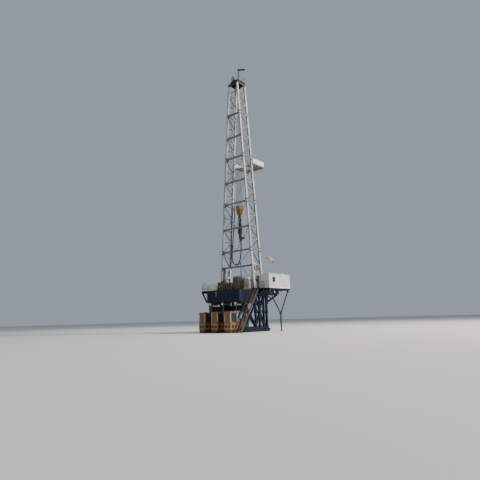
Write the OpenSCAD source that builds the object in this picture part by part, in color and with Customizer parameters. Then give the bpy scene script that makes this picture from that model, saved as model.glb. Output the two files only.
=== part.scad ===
/* [Mast] */
// Height of the mast above the drill floor
mast_h = 4240; // [4000:10:4500]
// Distance between the leg centres at the floor, side to side
mast_base_w = 810; // [780:10:820]
// Distance between the leg centres at the crown, side to side
mast_top_w = 218; // [200:2:250]
// Distance between the front and rear leg centres
mast_side_d = 230; // [210:2:250]
// Width of each square leg
leg_w = 34; // [28:1:38]
// Width of the bars that brace the sides
brace_w = 14; // [10:1:18]
// Depth of the girts across the back
girt_d = 30; // [20:1:34]
// Width of the diagonals across the back
back_brace_w = 8; // [6:1:14]
// Height of the first girt above the floor
boot_h = 420; // [380:5:440]
// Height of the lowest splice above the floor
splice_h = 720; // [680:5:760]
// Height of the top section, above the last splice
top_section_h = 712; // [650:4:760]
// Number of sections between the lowest splice and the top one
section_count = 3; // [2:1:4]
// Thickness of the foot plates under the legs
shoe_h = 22; // [14:1:30]
// Width of the foot plates under the legs
shoe_w = 48; // [44:1:56]

/* [A frames] */
// Height of the A frames inside the mast
a_frame_h = 450; // [380:5:480]
// Thickness of the A frames
a_frame_t = 34; // [24:1:40]
// Foot length of the A frames, front to back
a_frame_foot = 216; // [200:2:216]
// Head length of the A frames, front to back
a_frame_head = 150; // [120:5:170]
// Width of the box legs of the A frames
a_frame_leg = 52; // [40:1:60]

/* [Substructure] */
// Height of the drill floor above the ground
floor_z = 750; // [740:2:790]
// Width of the drill floor outside the mast's foot plates
floor_edge = 2; // [1:0.5:6]
// Depth of the drill floor's girders
floor_t = 90; // [70:2:110]
// Thickness of the steel deck plates
deck_t = 8; // [5:1:12]
// Reach of the drill floor in front of the well
floor_front = 580; // [540:10:620]
// Reach of the drill floor behind the well
floor_rear = 160; // [155:1:175]
// Height of the base skids
skid_h = 55; // [45:1:65]
// Width of the base skids
skid_w = 50; // [40:1:60]
// Width of the posts and chords of the side frames
post_w = 32; // [24:1:38]
// Width of the diagonals of the side frames
frame_brace_w = 22; // [14:1:26]
// Distance of the front posts from the well
front_post_y = 200; // [190:5:240]
// Distance of the rear posts from the well
rear_post_y = 400; // [380:5:430]

/* [Rear platform] */
// Height of the rear platform above the ground
platform_z = 720; // [700:2:730]
// Depth of the rear platform's girders
platform_t = 200; // [170:5:220]
// Reach of the rear platform behind the well
platform_rear = 570; // [550:5:600]
// Reach of the rear platform's sides past the drill floor's
platform_edge = 9; // [8:1:14]
// Reach of the rear girder to the right of the well
rear_girder_x = 310; // [290:2:330]
// Thickness of the rear platform's girder webs
girder_t = 10; // [6:1:14]
// Width of the walkway outside the rear platform
walkway_w = 35; // [30:1:50]

/* [Doghouse] */
// Width of the doghouse
doghouse_w = 226; // [210:2:240]
// Length of the doghouse
doghouse_l = 632; // [600:4:660]
// Height of the doghouse walls
doghouse_h = 246; // [230:2:260]
// Thickness of the doghouse walls over the ribs
wall_t = 9; // [8:1:12]
// Depth of the ribs in the walls
rib_d = 3; // [2:0.5:4]
// Spacing of the ribs in the walls
rib_pitch = 28; // [24:1:34]
// Depth of the frame under the doghouse
dog_floor_t = 28; // [20:1:36]
// Thickness of the doghouse roof
roof_t = 10; // [8:1:14]
// Reach of the roof past the walls
roof_over = 5; // [2:1:8]
// Width of the doghouse window
window_w = 76; // [60:2:90]
// Height of the doghouse window
window_h = 80; // [60:2:90]
// Width of the doghouse door
door_w = 86; // [76:2:96]
// Height of the doghouse door
door_h = 200; // [190:2:210]

/* [Stair and rails] */
// Width of the stair
stair_w = 106; // [80:2:112]
// Slope of the stair in degrees
stair_angle = 56; // [54:1:62]
// Rise from tread to tread
stair_rise = 25; // [22:1:30]
// Height of the handrails
rail_h = 120; // [100:2:130]
// Diameter of the rail tubes
rail_d = 7; // [4:0.5:8]
// Largest spacing of the rail posts
rail_pitch = 60; // [50:5:140]

/* [Hoisting] */
// Diameter of the sheaves in the crown and the block
sheave_d = 104; // [94:2:110]
// Width of each sheave
sheave_w = 14; // [12:1:16]
// Number of sheaves in the travelling block
sheave_count = 4; // [2:1:5]
// Diameter of the wire rope
rope_d = 4; // [3:0.5:5]
// Height of the travelling block's sheave shaft above the ground
block_z = 2330; // [2200:10:2500]
// Width of the travelling block
block_w = 96; // [92:1:104]
// Depth of the crown sheaves' shaft below the mast's top
crown_shaft_h = 22; // [14:2:34]

/* [Engines] */
// Gap between the outer engine sets and the base skids
engine_gap = 23; // [20:1:40]
// Width of the radiator housings
radiator_w = 140; // [120:2:150]
// Depth of the radiator housings
radiator_d = 170; // [150:2:180]
// Height of the radiator housings
radiator_h = 180; // [160:2:200]
// Height of the frame under each radiator
radiator_base_h = 120; // [100:2:130]
// Height of the engine skids
engine_skid_h = 45; // [35:1:55]
// Diameter of the mufflers
muffler_d = 46; // [36:1:50]
// Length of the mufflers
muffler_l = 190; // [160:5:210]

/* [Hidden] */

// Running clearance between close pieces, and the gap where curved faces meet
gap = 0.3;
// Gap between the doghouse and what stands beside it
side_gap = 2;

// Places of the mast
lean = (mast_base_w - mast_top_w) / 2 / mast_h;
mast_top_z = floor_z + mast_h;
section_h = (mast_h - splice_h - top_section_h) / section_count;
lower_bay = 0.47 * section_h;
function half_w(h) = mast_base_w / 2 - lean * h;
function on_leg(sx, sy, h) = [sx * half_w(h), sy * mast_side_d / 2, floor_z + h];
girt_levels = concat(
    [boot_h, splice_h],
    [for (i = [0 : section_count - 1])
        each [splice_h + i * section_h + lower_bay, splice_h + (i + 1) * section_h]]
);
main_levels = concat([shoe_h], girt_levels, [mast_h]);
function panel_count(a, b) = max(1, round((b - a) / mast_side_d));
side_levels = concat(
    [for (i = [0 : len(main_levels) - 2])
        let (a = main_levels[i], b = main_levels[i + 1], n = panel_count(a, b))
        for (k = [0 : n - 1]) a + (b - a) * k / n],
    [mast_h]
);

// Places of the substructure
floor_half_w = (mast_base_w + shoe_w) / 2 + floor_edge;
frame_x = floor_half_w - post_w / 2;
leg_y = mast_side_d / 2;
platform_half_w = floor_half_w + platform_edge;
girder_top = platform_z - deck_t;
girder_bottom = platform_z - platform_t;
walkway_x = platform_half_w + walkway_w;
dog_in = -floor_half_w;
dog_out = dog_in - doghouse_w;
dog_rear = 0;
dog_front = -doghouse_l;
dog_base_z = floor_z - dog_floor_t;
dog_roof_z = floor_z + doghouse_h;
stair_gap = 8;
stair_in = -(platform_half_w + stair_gap);
stair_out = stair_in - stair_w;
landing_rear = floor_rear + 30;
stair_run = floor_z / tan(stair_angle);

// Places of the engine sets
engine_skid_half = 62;
engine_pitch = frame_x - skid_w / 2 - engine_gap - engine_skid_half;
engine_rear = 725;
radiator_front = engine_rear - radiator_d;
engine_front = 210;
radiator_z = engine_skid_h + radiator_base_h;
radiator_top = radiator_z + radiator_h;
engine_h = 180;
muffler_z = girder_bottom - muffler_d / 2 - 6;
muffler_rear = 525;
stack_y = muffler_rear - 30;
stack_d = 22;

// Places of the hoisting gear
groove_r = sheave_d / 2 - 6;
rope_y = groove_r + rope_d / 2 + gap;
crown_shaft_z = mast_top_z - crown_shaft_h;
shaft_d = 18;
sheave_pitch = sheave_w + 6;
cheek_t = 5;
fast_x = 0;
fast_shaft_y = 100;
drum_y = 300;
drum_lift = 78;
drum_z = floor_z + drum_lift;
drum_d = 64;
block_drop = 150;
block_bottom = block_z - block_drop;

// Route of the rotary hose, from the standpipe's outlet to the swivel's outlet
hose_d = 17;
swivel_turn = -70;
outlet_r = 40;
outlet_x = outlet_r * cos(swivel_turn);
outlet_y = outlet_r * sin(swivel_turn);
outlet_z = 1740;
outlet_drop = 60;
hose_route = [
    [226, -100, 2380], [228, -100, 2300], [234, -98, 2180], [246, -94, 2000], [262, -88, 1800],
    [278, -80, 1600], [284, -74, 1450], [270, -66, 1340], [226, -58, 1268], [160, -50, 1240],
    [94, -44, 1266], [46, -40, 1350], [22, -36, 1460], [14, -34, 1580],
    [outlet_x, outlet_y, outlet_z - outlet_drop], [outlet_x, outlet_y, outlet_z]
];
hose_steps = 4;
hose_sides = 8;
pipe_d = 12;
pipe_gap = 3;

// Origin at the middle of the base
x_low = dog_out - roof_over;
x_high = walkway_x;
mid_x = (x_low + x_high) / 2;
mid_y = (engine_rear + dog_front - roof_over) / 2;

// Colours
navy = "#1f2a4d";
white_steel = "#d9d8d2";
maroon = "#6d2a2c";
cream = "#d8cfae";
yellow = "#c99a2e";
orange = "#c8702a";
dark_grey = "#4a474a";
black = "#22252b";
silver = "#c9ccd0";

// Moves the rig from the well's centre to the middle of its base
module placed() {
    translate([-mid_x, -mid_y, 0]) children();
}

// Square bar from p to q, with d its horizontal width and w its other one
module bar(p, q, w, d) {
    v = q - p;
    length = norm(v);
    translate(p)
        rotate([0, acos(v[2] / length), atan2(v[1], v[0])])
            translate([-w / 2, -d / 2, 0]) cube([w, d, length]);
}

// Round bar from p to q
module rod(p, q, d) {
    v = q - p;
    length = norm(v);
    translate(p)
        rotate([0, acos(v[2] / length), atan2(v[1], v[0])])
            cylinder(d = d, h = length, $fn = 24);
}

// Block between two corners
module block(a, b) {
    translate(a) cube(b - a);
}

// Outline in Y and Z given a thickness along X from x
module along_x(x, t) {
    translate([x, 0, 0]) rotate([90, 0, 90]) linear_extrude(height = t) children();
}

// Outline in X and Z given a thickness along Y, ending at y
module along_y(y, t) {
    translate([0, y, 0]) rotate([90, 0, 0]) linear_extrude(height = t) children();
}

// Flat bar in an outline
module strip(p, q, w) {
    v = q - p;
    translate(p) rotate(atan2(v[1], v[0])) translate([0, -w / 2]) square([norm(v), w]);
}

// One leaning leg of the mast
module mast_leg(sx, sy) {
    along_y(sy * leg_y + leg_w / 2, leg_w)
        polygon([for (c = [[-1, shoe_h], [1, shoe_h], [1, mast_h], [-1, mast_h]])
            [sx * half_w(c[1]) + c[0] * leg_w / 2, floor_z + c[1]]]);
}

// Two legs with the bracing between them
module mast_side(sx) {
    for (sy = [-1, 1]) mast_leg(sx, sy);
    half = brace_w / 2;
    for (i = [1 : len(side_levels) - 1])
        let (h = min(side_levels[i], mast_h - half))
        bar(on_leg(sx, -1, h), on_leg(sx, 1, h), brace_w, brace_w);
    for (i = [0 : len(side_levels) - 2])
        let (s = i % 2 == 0 ? 1 : -1)
        bar(on_leg(sx, -s, side_levels[i] + half), on_leg(sx, s, side_levels[i + 1] - half), brace_w, brace_w);
}

module mast_side_left() {
    color(white_steel) placed() mast_side(-1);
}

module mast_side_right() {
    color(white_steel) placed() mast_side(1);
}

// Girts between the two rear legs, with a V of thin bars over each and two knees under the lowest
knee_reach = 136;
module between_legs() {
    inner = leg_w / 2 + gap;
    intersection() {
        polygon([for (c = [[-1, 0], [1, 0], [1, mast_h], [-1, mast_h]])
            [c[0] * (half_w(c[1]) - inner), floor_z + c[1]]]);
        children();
    }
}
module mast_back_bracing() {
    tops = concat([for (i = [1 : len(girt_levels) - 1]) girt_levels[i]], [mast_h - girt_d]);
    color(white_steel) placed() {
        along_y(leg_y + girt_d / 2, girt_d) between_legs()
            for (h = concat(girt_levels, [mast_h - girt_d / 2]))
                translate([-mast_base_w / 2, floor_z + h - girt_d / 2]) square([mast_base_w, girt_d]);
        along_y(leg_y + back_brace_w / 2, back_brace_w) between_legs()
            for (sx = [-1, 1]) {
                strip([sx * half_w(shoe_h), floor_z + shoe_h],
                      [sx * knee_reach, floor_z + boot_h], back_brace_w);
                for (i = [0 : len(tops) - 1])
                    strip([sx * half_w(tops[i]), floor_z + tops[i]],
                          [0, floor_z + girt_levels[i]], back_brace_w);
            }
    }
}

// Foot plates under the four legs
module mast_shoes() {
    color(white_steel) placed()
        for (sx = [-1, 1], sy = [-1, 1])
            translate([sx * half_w(0) - shoe_w / 2, sy * leg_y - shoe_w / 2, floor_z])
                cube([shoe_w, shoe_w, shoe_h]);
}

// White box frames that stand inside the mast's feet
a_frame_x = half_w(a_frame_h) - leg_w / 2 - side_gap - a_frame_t;
a_frame_beam = 26;
module a_frame() {
    inner_foot = a_frame_foot / 2 - a_frame_leg;
    inner_head = a_frame_head / 2 - a_frame_leg * 0.8;
    beam_z = 0.52 * a_frame_h;
    beam_top = beam_z + a_frame_beam;
    difference() {
        polygon([[-a_frame_foot / 2, 0], [a_frame_foot / 2, 0],
                 [a_frame_head / 2, a_frame_h], [-a_frame_head / 2, a_frame_h]]);
        intersection() {
            polygon([[-inner_foot, -1], [inner_foot, -1], [inner_head, a_frame_h], [-inner_head, a_frame_h]]);
            union() {
                translate([-a_frame_foot, -1]) square([2 * a_frame_foot, beam_z + 1]);
                translate([-a_frame_foot, beam_top])
                    square([2 * a_frame_foot, a_frame_h - beam_top - a_frame_leg]);
            }
        }
    }
}
module a_frames() {
    color(white_steel) placed()
        for (x = [-a_frame_x - a_frame_t, a_frame_x])
            along_x(x, a_frame_t) translate([0, floor_z]) a_frame();
}

// Long beams on the ground under the two side frames
skid_reach = 60;
skid_nose = 22;
skid_front = front_post_y + skid_reach;
skid_rear = rear_post_y + skid_reach;
module base_skids() {
    color(navy) placed()
        for (sx = [-1, 1])
            along_x(sx * frame_x - skid_w / 2, skid_w)
                polygon([[-skid_front + skid_nose, 0], [skid_rear - skid_nose, 0], [skid_rear, skid_nose],
                         [skid_rear, skid_h], [-skid_front, skid_h], [-skid_front, skid_nose]]);
}

// Lattice of one side, from the skid to the floor
floor_under = floor_z - floor_t;
frame_mid = (skid_h + floor_under) / 2;
module side_frame() {
    low = skid_h + post_w;
    posts = [-front_post_y, -leg_y, 0, leg_y, rear_post_y];
    for (y = posts)
        translate([y - post_w / 2, skid_h])
            square([post_w, (y == rear_post_y ? girder_bottom : floor_under) - skid_h]);
    translate([-front_post_y, skid_h]) square([front_post_y + rear_post_y, post_w]);
    translate([-front_post_y, floor_under - post_w]) square([front_post_y + leg_y, post_w]);
    translate([leg_y, girder_bottom - post_w]) square([rear_post_y - leg_y, post_w]);
    translate([-front_post_y, frame_mid - frame_brace_w / 2]) square([front_post_y + leg_y, frame_brace_w]);
    for (s = [-1, 1], z = [low, floor_under - post_w]) strip([s * leg_y, z], [0, frame_mid], frame_brace_w);
    strip([leg_y, girder_bottom - post_w], [rear_post_y, low], frame_brace_w);
    strip([rear_post_y, girder_bottom - post_w], [leg_y, low], frame_brace_w);
}

module side_frames() {
    color(navy) placed()
        for (sx = [-1, 1]) along_x(sx * frame_x - post_w / 2, post_w) side_frame();
}

// Braced frames across the rig, between the side frames
cross_half = frame_x - post_w / 2 - gap;
module cross_frame() {
    low = skid_h;
    intersection() {
        translate([-cross_half, low]) square([2 * cross_half, floor_under - low]);
        union() {
            for (z = [low, floor_under - post_w])
                translate([-cross_half, z]) square([2 * cross_half, post_w]);
            for (s = [-1, 1])
                strip([s * cross_half, low + post_w], [0, floor_under - post_w], frame_brace_w);
        }
    }
}
module cross_frames() {
    color(navy) placed()
        for (y = [-front_post_y, leg_y])
            along_y(y + post_w / 2, post_w) cross_frame();
}

// Braced brackets from the front posts to the part of the floor in front of them
knee_z = 480;
knee_edge = 50;
module floor_knees() {
    root = -front_post_y - post_w / 2 - gap;
    tip = -floor_front + knee_edge;
    mid = (root + tip) / 2;
    w = frame_brace_w;
    color(navy) placed()
        for (sx = [-1, 1])
            along_x(sx * frame_x - post_w / 2, post_w) intersection() {
                translate([-floor_front, knee_z]) square([floor_front + root, floor_under - knee_z]);
                union() {
                    strip([root, knee_z + w], [tip, floor_under - w / 2], w);
                    translate([tip, floor_under - w]) square([root - tip, w]);
                    translate([root - w, knee_z]) square([w, floor_under - knee_z]);
                    strip([root, floor_under - w], [mid, (knee_z + floor_under) / 2], w / 2);
                }
            }
}

// Steel floor on deep girders, with the hole over the well
rotary_d = 110;
table_r = 95;
rim_t = 14;
rib_half = 8;
module drill_floor() {
    color(navy) placed() difference() {
        union() {
            block([-floor_half_w, -floor_front, floor_z - deck_t], [floor_half_w, floor_rear, floor_z]);
            difference() {
                block([-floor_half_w, -floor_front, floor_under],
                      [floor_half_w, floor_rear, floor_z - deck_t]);
                block([-floor_half_w + rim_t, -floor_front + rim_t, floor_under - 1],
                      [floor_half_w - rim_t, floor_rear - rim_t, floor_z - deck_t]);
            }
            for (x = [-frame_x, -table_r - 10, table_r + 10, frame_x])
                block([x - rib_half, -floor_front + 1, floor_under],
                      [x + rib_half, floor_rear - 1, floor_z - deck_t]);
            for (y = [-front_post_y, -leg_y, leg_y])
                block([-floor_half_w + 1, y - rib_half, floor_under],
                      [floor_half_w - 1, y + rib_half, floor_z - deck_t]);
        }
        translate([0, 0, floor_under - 1]) cylinder(r = table_r, h = floor_t + 2, $fn = 64);
    }
}

// Round table with the opening over the well
module rotary_table() {
    color(dark_grey) placed() difference() {
        union() {
            translate([0, 0, floor_z - 40]) cylinder(r = table_r - gap, h = 40, $fn = 64);
            translate([0, 0, floor_z]) cylinder(r = table_r - 15, h = 6, $fn = 64);
        }
        translate([0, 0, floor_z - 41]) cylinder(d = rotary_d, h = 50, $fn = 64);
    }
}

// Pipe held in the table by its slips, with an open box at its upper end
string_d = 18;
joint_d = 24;
joint_l = 60;
string_top = 1265;
box_d = 10;
box_l = 30;
module drill_pipe() {
    color(dark_grey) placed() difference() {
        union() {
            translate([0, 0, floor_z - 60]) cylinder(d = string_d, h = string_top - floor_z + 60, $fn = 32);
            translate([0, 0, string_top - joint_l]) cylinder(d = joint_d, h = joint_l, $fn = 32);
            translate([0, 0, floor_z - 36]) cylinder(d = rotary_d - 2 * gap, h = 30, $fn = 64);
            translate([0, 0, floor_z - 6]) cylinder(d = 60, h = 22, $fn = 48);
        }
        translate([0, 0, string_top - box_l]) cylinder(d = box_d, h = box_l + 1, $fn = 32);
    }
}

// Ring of deep plate girders with bottom flanges, from the left girder to x
flange_w = 46;
flange_t = 8;
module girder_box(x, front, rear) {
    difference() {
        block([-platform_half_w, front, girder_bottom], [x, rear, girder_top]);
        block([-platform_half_w + girder_t, front + girder_t, girder_bottom + flange_t],
              [x - girder_t, rear - girder_t, girder_top]);
        block([-platform_half_w + flange_w, front + flange_w, girder_bottom - 1],
              [x - flange_w, rear - flange_w, girder_top]);
    }
}

// Bracket under the walkway, from a girder's face at x to the walkway's edge
bracket_foot = 45;
bracket_rim = 12;
module bracket(x) {
    foot = min(bracket_foot, (walkway_x - x) / 3);
    difference() {
        polygon([[x - 1, girder_top], [walkway_x, girder_top], [walkway_x, girder_top - bracket_rim],
                 [x + foot, girder_bottom], [x - 1, girder_bottom]]);
        if (walkway_x - x > 4 * bracket_rim)
            polygon([[x + bracket_rim, girder_top - bracket_rim],
                     [walkway_x - 2 * bracket_rim, girder_top - bracket_rim],
                     [x + foot - bracket_rim / 2, girder_bottom + bracket_rim],
                     [x + bracket_rim, girder_bottom + bracket_rim]]);
    }
}

// Deck behind the drill floor, on its girders and brackets
main_rear = rear_post_y + post_w;
end_dip = 36;
post_gap_x = platform_half_w - frame_x - post_w / 2 - gap;
module rear_platform() {
    color(navy) placed() {
        block([-platform_half_w, floor_rear, girder_top], [walkway_x, platform_rear, platform_z]);
        girder_box(platform_half_w, floor_rear, main_rear);
        girder_box(rear_girder_x, main_rear - girder_t, platform_rear);
        along_y(platform_rear, girder_t) bracket(rear_girder_x);
        for (y = [floor_rear + 30, main_rear]) along_y(y, girder_t) bracket(platform_half_w);
        along_x(-platform_half_w, post_gap_x)
            polygon([[floor_rear, girder_bottom + 1], [platform_rear, girder_bottom + 1],
                     [main_rear, girder_bottom - end_dip], [floor_rear + 60, girder_bottom - end_dip]]);
    }
}

// Hoist behind the mast
draw_left = 15 - platform_half_w;
draw_right = 262;
draw_front = floor_rear + 10;
draw_rear = 430;
draw_skid_h = 26;
drum_frame_half = 150;
end_frame_t = 34;
end_frame_h = 150;
end_frame_low = 80;
end_frame_half = 70;
drum_shaft_d = 30;
module drawworks_frame() {
    color(yellow) placed() {
        difference() {
            block([draw_left, draw_front, platform_z], [draw_right, draw_rear, platform_z + draw_skid_h]);
            block([draw_left + 30, draw_front + 30, platform_z - 1],
                  [draw_right - 30, draw_rear - 30, platform_z + draw_skid_h + 1]);
        }
        for (x = [fast_x - drum_frame_half, fast_x + drum_frame_half - end_frame_t])
            difference() {
                along_x(x, end_frame_t)
                    polygon([[draw_front, platform_z + 20], [draw_rear, platform_z + 20],
                             [draw_rear, platform_z + end_frame_low],
                             [drum_y + end_frame_half, platform_z + end_frame_h],
                             [drum_y - end_frame_half, platform_z + end_frame_h],
                             [draw_front, platform_z + end_frame_low]]);
                translate([x - 1, drum_y, drum_z]) rotate([0, 90, 0])
                    cylinder(d = drum_shaft_d + 2 * gap, h = end_frame_t + 2, $fn = 48);
            }
    }
}

// Drum with its flanges and shaft
flange_d = 110;
drum_flange_t = 12;
module drawworks_drum() {
    half = drum_frame_half - end_frame_t - 1;
    color(dark_grey) placed() translate([fast_x, drum_y, drum_z]) rotate([0, 90, 0]) {
        translate([0, 0, -drum_frame_half]) cylinder(d = drum_shaft_d, h = 2 * drum_frame_half, $fn = 48);
        translate([0, 0, -half]) cylinder(d = drum_d, h = 2 * half, $fn = 64);
        for (z = [-half, half - drum_flange_t])
            translate([0, 0, z]) cylinder(d = flange_d, h = drum_flange_t, $fn = 64);
    }
}

// Gear cases between the drum and the left end of the hoist
case_z = platform_z + draw_skid_h;
case_right = fast_x - drum_frame_half - 4;
case_w = 184;
case_left = case_right - case_w;
case_to_front = 75;
case_to_rear = 65;
case_front = drum_y - case_to_front;
case_rear = drum_y + case_to_rear;
case_h = 126;
end_case_h = 165;
case_slope = 20;
module drawworks_gearcase() {
    color(yellow) placed() translate([0, 0, case_z]) {
        along_x(case_left, case_right - case_left)
            polygon([[case_front, 0], [case_rear, 0], [case_rear, case_h], [case_front, case_h]]);
        along_x(draw_left, case_left - draw_left)
            polygon([[case_front + 60, 0], [case_rear + 40, 0], [case_rear + 40, end_case_h - case_slope],
                     [case_rear + 40 - case_slope, end_case_h], [case_front + 60 + case_slope, end_case_h],
                     [case_front + 60, end_case_h - case_slope]]);
    }
}

// Grey hood over the gear cases and the near end of the drum
hood_h = 102;
hood_slope = 30;
hood_slope_h = 24;
hood_right = fast_x - drum_frame_half + end_frame_t - 2;
module drawworks_cover() {
    color("#8f9190") placed()
        along_x(case_left, hood_right - case_left)
            translate([0, case_z + case_h])
                polygon([[case_front, 0], [case_rear, 0], [case_rear, hood_h - hood_slope_h],
                         [case_rear - hood_slope, hood_h], [case_front + hood_slope, hood_h],
                         [case_front, hood_h - hood_slope_h]]);
}

// Two motors with their blowers, and the brake's housing, on the hoist's skid
motor_d = 76;
motor_l = 92;
motor_foot = 20;
blower_w = 46;
blower_h = 62;
brake_h = 150;
module drawworks_motors() {
    color(orange) placed() translate([0, 0, case_z]) {
        for (y = [draw_front + 60, draw_rear - 60])
            translate([draw_right - motor_l - 4, y, 0]) {
                translate([4, -motor_d / 3, 0]) cube([motor_l - 8, motor_d * 2 / 3, motor_foot]);
                translate([0, 0, motor_d / 2 + 4]) rotate([0, 90, 0])
                    cylinder(d = motor_d, h = motor_l, $fn = 48);
                translate([motor_l / 2 - blower_w / 2, -blower_w / 2, motor_d / 2])
                    cube([blower_w, blower_w, motor_d / 2 + blower_h]);
            }
        block([fast_x + 20, drum_y + 78, 0], [fast_x + 112, draw_rear, brake_h]);
    }
}

// Box frame on top of the mast, with hangers for the sheaves' shaft and a post on its rear beam
crown_half_x = mast_top_w / 2 - 4;
crown_front = leg_y + leg_w / 2 + 18;
crown_rear = 80;
crown_t = 72;
crown_beam = 20;
crown_post_w = 30;
crown_post_h = 115;
bearing_x = sheave_count * sheave_pitch / 2 + 14;
bearing_t = 8;
bearing_half = 14;
hanger_half = leg_y - girt_d / 2 - 25;
fast_bearing_x = sheave_w / 2 + 3;
fast_shaft_h = crown_t + bearing_half;
module crown_frame() {
    color(maroon) placed() translate([0, 0, mast_top_z]) {
        difference() {
            block([-crown_half_x, -crown_front, 0], [crown_half_x, crown_rear, crown_t]);
            block([-crown_half_x + crown_beam, -crown_front + crown_beam, -1],
                  [crown_half_x - crown_beam, crown_rear - crown_beam, crown_t + 1]);
            block([-sheave_w / 2 - 2, 0, -1], [sheave_w / 2 + 2, crown_rear + 1, crown_t + 1]);
        }
        for (x = [fast_bearing_x, -fast_bearing_x - bearing_t])
            difference() {
                along_x(x, bearing_t)
                    polygon([[crown_rear - crown_beam, 0], [crown_rear, 0],
                             [fast_shaft_y + bearing_half, fast_shaft_h - bearing_half],
                             [fast_shaft_y + bearing_half, fast_shaft_h + bearing_half],
                             [fast_shaft_y - bearing_half, fast_shaft_h + bearing_half],
                             [crown_rear - crown_beam, crown_t]]);
                translate([x - 1, fast_shaft_y, fast_shaft_h]) rotate([0, 90, 0])
                    cylinder(d = shaft_d + 2 * gap, h = bearing_t + 2, $fn = 32);
            }
        for (x = [-bearing_x - bearing_t, bearing_x])
            difference() {
                along_x(x, bearing_t)
                    polygon([[-crown_front + 1, 0], [-hanger_half, 0], [-30, -crown_shaft_h - 20],
                             [30, -crown_shaft_h - 20], [hanger_half, 0], [crown_rear - 1, 0],
                             [crown_rear - 1, crown_t], [-crown_front + 1, crown_t]]);
                translate([x - 1, 0, -crown_shaft_h]) rotate([0, 90, 0])
                    cylinder(d = shaft_d + 2 * gap, h = bearing_t + 2, $fn = 32);
            }
        block([bearing_x - crown_post_w, crown_rear - crown_beam, crown_t - 1],
              [bearing_x, crown_rear, crown_t + crown_post_h]);
    }
}

// One grooved wheel, its axle along X
module sheave(bore) {
    r = sheave_d / 2;
    rotate([0, 90, 0]) rotate_extrude($fn = 64)
        polygon([[bore / 2, -sheave_w / 2], [r, -sheave_w / 2], [r, -sheave_w / 2 + 3],
                 [groove_r, -rope_d / 2], [groove_r, rope_d / 2],
                 [r, sheave_w / 2 - 3], [r, sheave_w / 2], [bore / 2, sheave_w / 2]]);
}

// Wheels of the crown on their shaft, and the wheel of the fast line
module crown_sheaves() {
    color(black) placed() translate([0, 0, crown_shaft_z]) {
        translate([-bearing_x - bearing_t, 0, 0]) rotate([0, 90, 0])
            cylinder(d = shaft_d, h = 2 * (bearing_x + bearing_t), $fn = 32);
        for (i = [0 : sheave_count - 1])
            translate([(i - (sheave_count - 1) / 2) * sheave_pitch, 0, 0]) sheave(shaft_d - 2);
        translate([0, fast_shaft_y, crown_shaft_h + fast_shaft_h]) {
            sheave(shaft_d - 2);
            translate([-fast_bearing_x - bearing_t, 0, 0]) rotate([0, 90, 0])
                cylinder(d = shaft_d, h = 2 * (fast_bearing_x + bearing_t), $fn = 32);
        }
    }
}

// Post with its braced lifting arm, on the left beam of the crown
pole_w = 14;
pole_x = -crown_half_x + crown_beam / 2;
pole_y = 50;
arm_h = 238;
arm_l = 142;
arm_t = 26;
arm_turn = 221;
module gin_pole() {
    color(maroon) placed() translate([pole_x, pole_y, mast_top_z + crown_t]) {
        translate([-pole_w / 2, -pole_w / 2, 0]) cube([pole_w, pole_w, arm_h - arm_t + 1]);
        rotate([0, 0, arm_turn]) {
            translate([-pole_w, -arm_t / 2, arm_h - arm_t]) cube([arm_l + pole_w, arm_t, arm_t]);
            bar([0, 0, arm_h - arm_t - 60], [60, 0, arm_h - arm_t / 2], 8, 8);
        }
    }
}

// Platform high in the mast, open towards the well
board_h = 2460;
board_z = floor_z + board_h;
board_left = -272;
board_right = 208;
board_front = 470;
board_t = 20;
board_side = 84;
finger_w = 8;
finger_pitch = 46;
slot_half = 60;
module monkey_board() {
    rear_y = -(leg_y + leg_w / 2 + gap);
    color("#8a6a58") placed() {
        difference() {
            block([board_left, -board_front, board_z], [board_right, rear_y, board_z + board_t]);
            block([board_left + board_side, -board_front + board_side, board_z - 1],
                  [board_right - board_side, rear_y + 1, board_z + board_t + 1]);
        }
        for (i = [1 : 5])
            let (y = -board_front + board_side - finger_w + i * finger_pitch, top = board_z + board_t) {
                block([board_left + board_side - 1, y, board_z], [-slot_half, y + finger_w, top]);
                block([slot_half, y, board_z], [board_right - board_side + 1, y + finger_w, top]);
            }
    }
}

// White sheets round the platform
wind_wall_h = 95;
module monkey_wind_walls() {
    rear_y = -(leg_y + leg_w / 2 + gap);
    z = board_z + board_t;
    color("#e9e9e6") placed() {
        for (x = [board_left, board_right - 5])
            block([x, -board_front + 5 + gap, z], [x + 5, rear_y, z + wind_wall_h]);
        block([board_left, -board_front, z], [board_right, -board_front + 5, z + wind_wall_h]);
    }
}

// Pipe up the front right leg with its bent outlet
module standpipe() {
    outlet = hose_route[0];
    top_h = outlet[2] + 20 - floor_z;
    top_x = half_w(top_h) - leg_w / 2 - pipe_d / 2 - pipe_gap;
    bend_r = (top_x - outlet[0]) / 2;
    foot_h = 60;
    foot_x = half_w(foot_h) - leg_w / 2 - pipe_d / 2 - pipe_gap;
    foot = [foot_x, outlet[1], floor_z + foot_h];
    turn = [foot_x, -leg_y - 50, floor_z + foot_h];
    color(silver) placed() {
        rod(foot, [top_x, outlet[1], outlet[2] + 20], pipe_d);
        rod(foot, turn, pipe_d);
        rod(turn, [turn[0], turn[1], floor_z], pipe_d);
        for (p = [foot, turn]) translate(p) sphere(d = pipe_d + 2, $fn = 32);
        translate([top_x, outlet[1], outlet[2] + 12]) cylinder(d = pipe_d + 4, h = 12, $fn = 32);
        translate([top_x - bend_r, outlet[1], outlet[2] + 24]) rotate([90, 0, 0])
            rotate_extrude(angle = 180, $fn = 48) translate([bend_r, 0]) circle(d = pipe_d, $fn = 24);
        translate([outlet[0], outlet[1], outlet[2]]) cylinder(d = pipe_d + 4, h = 24, $fn = 24);
    }
}

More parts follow.
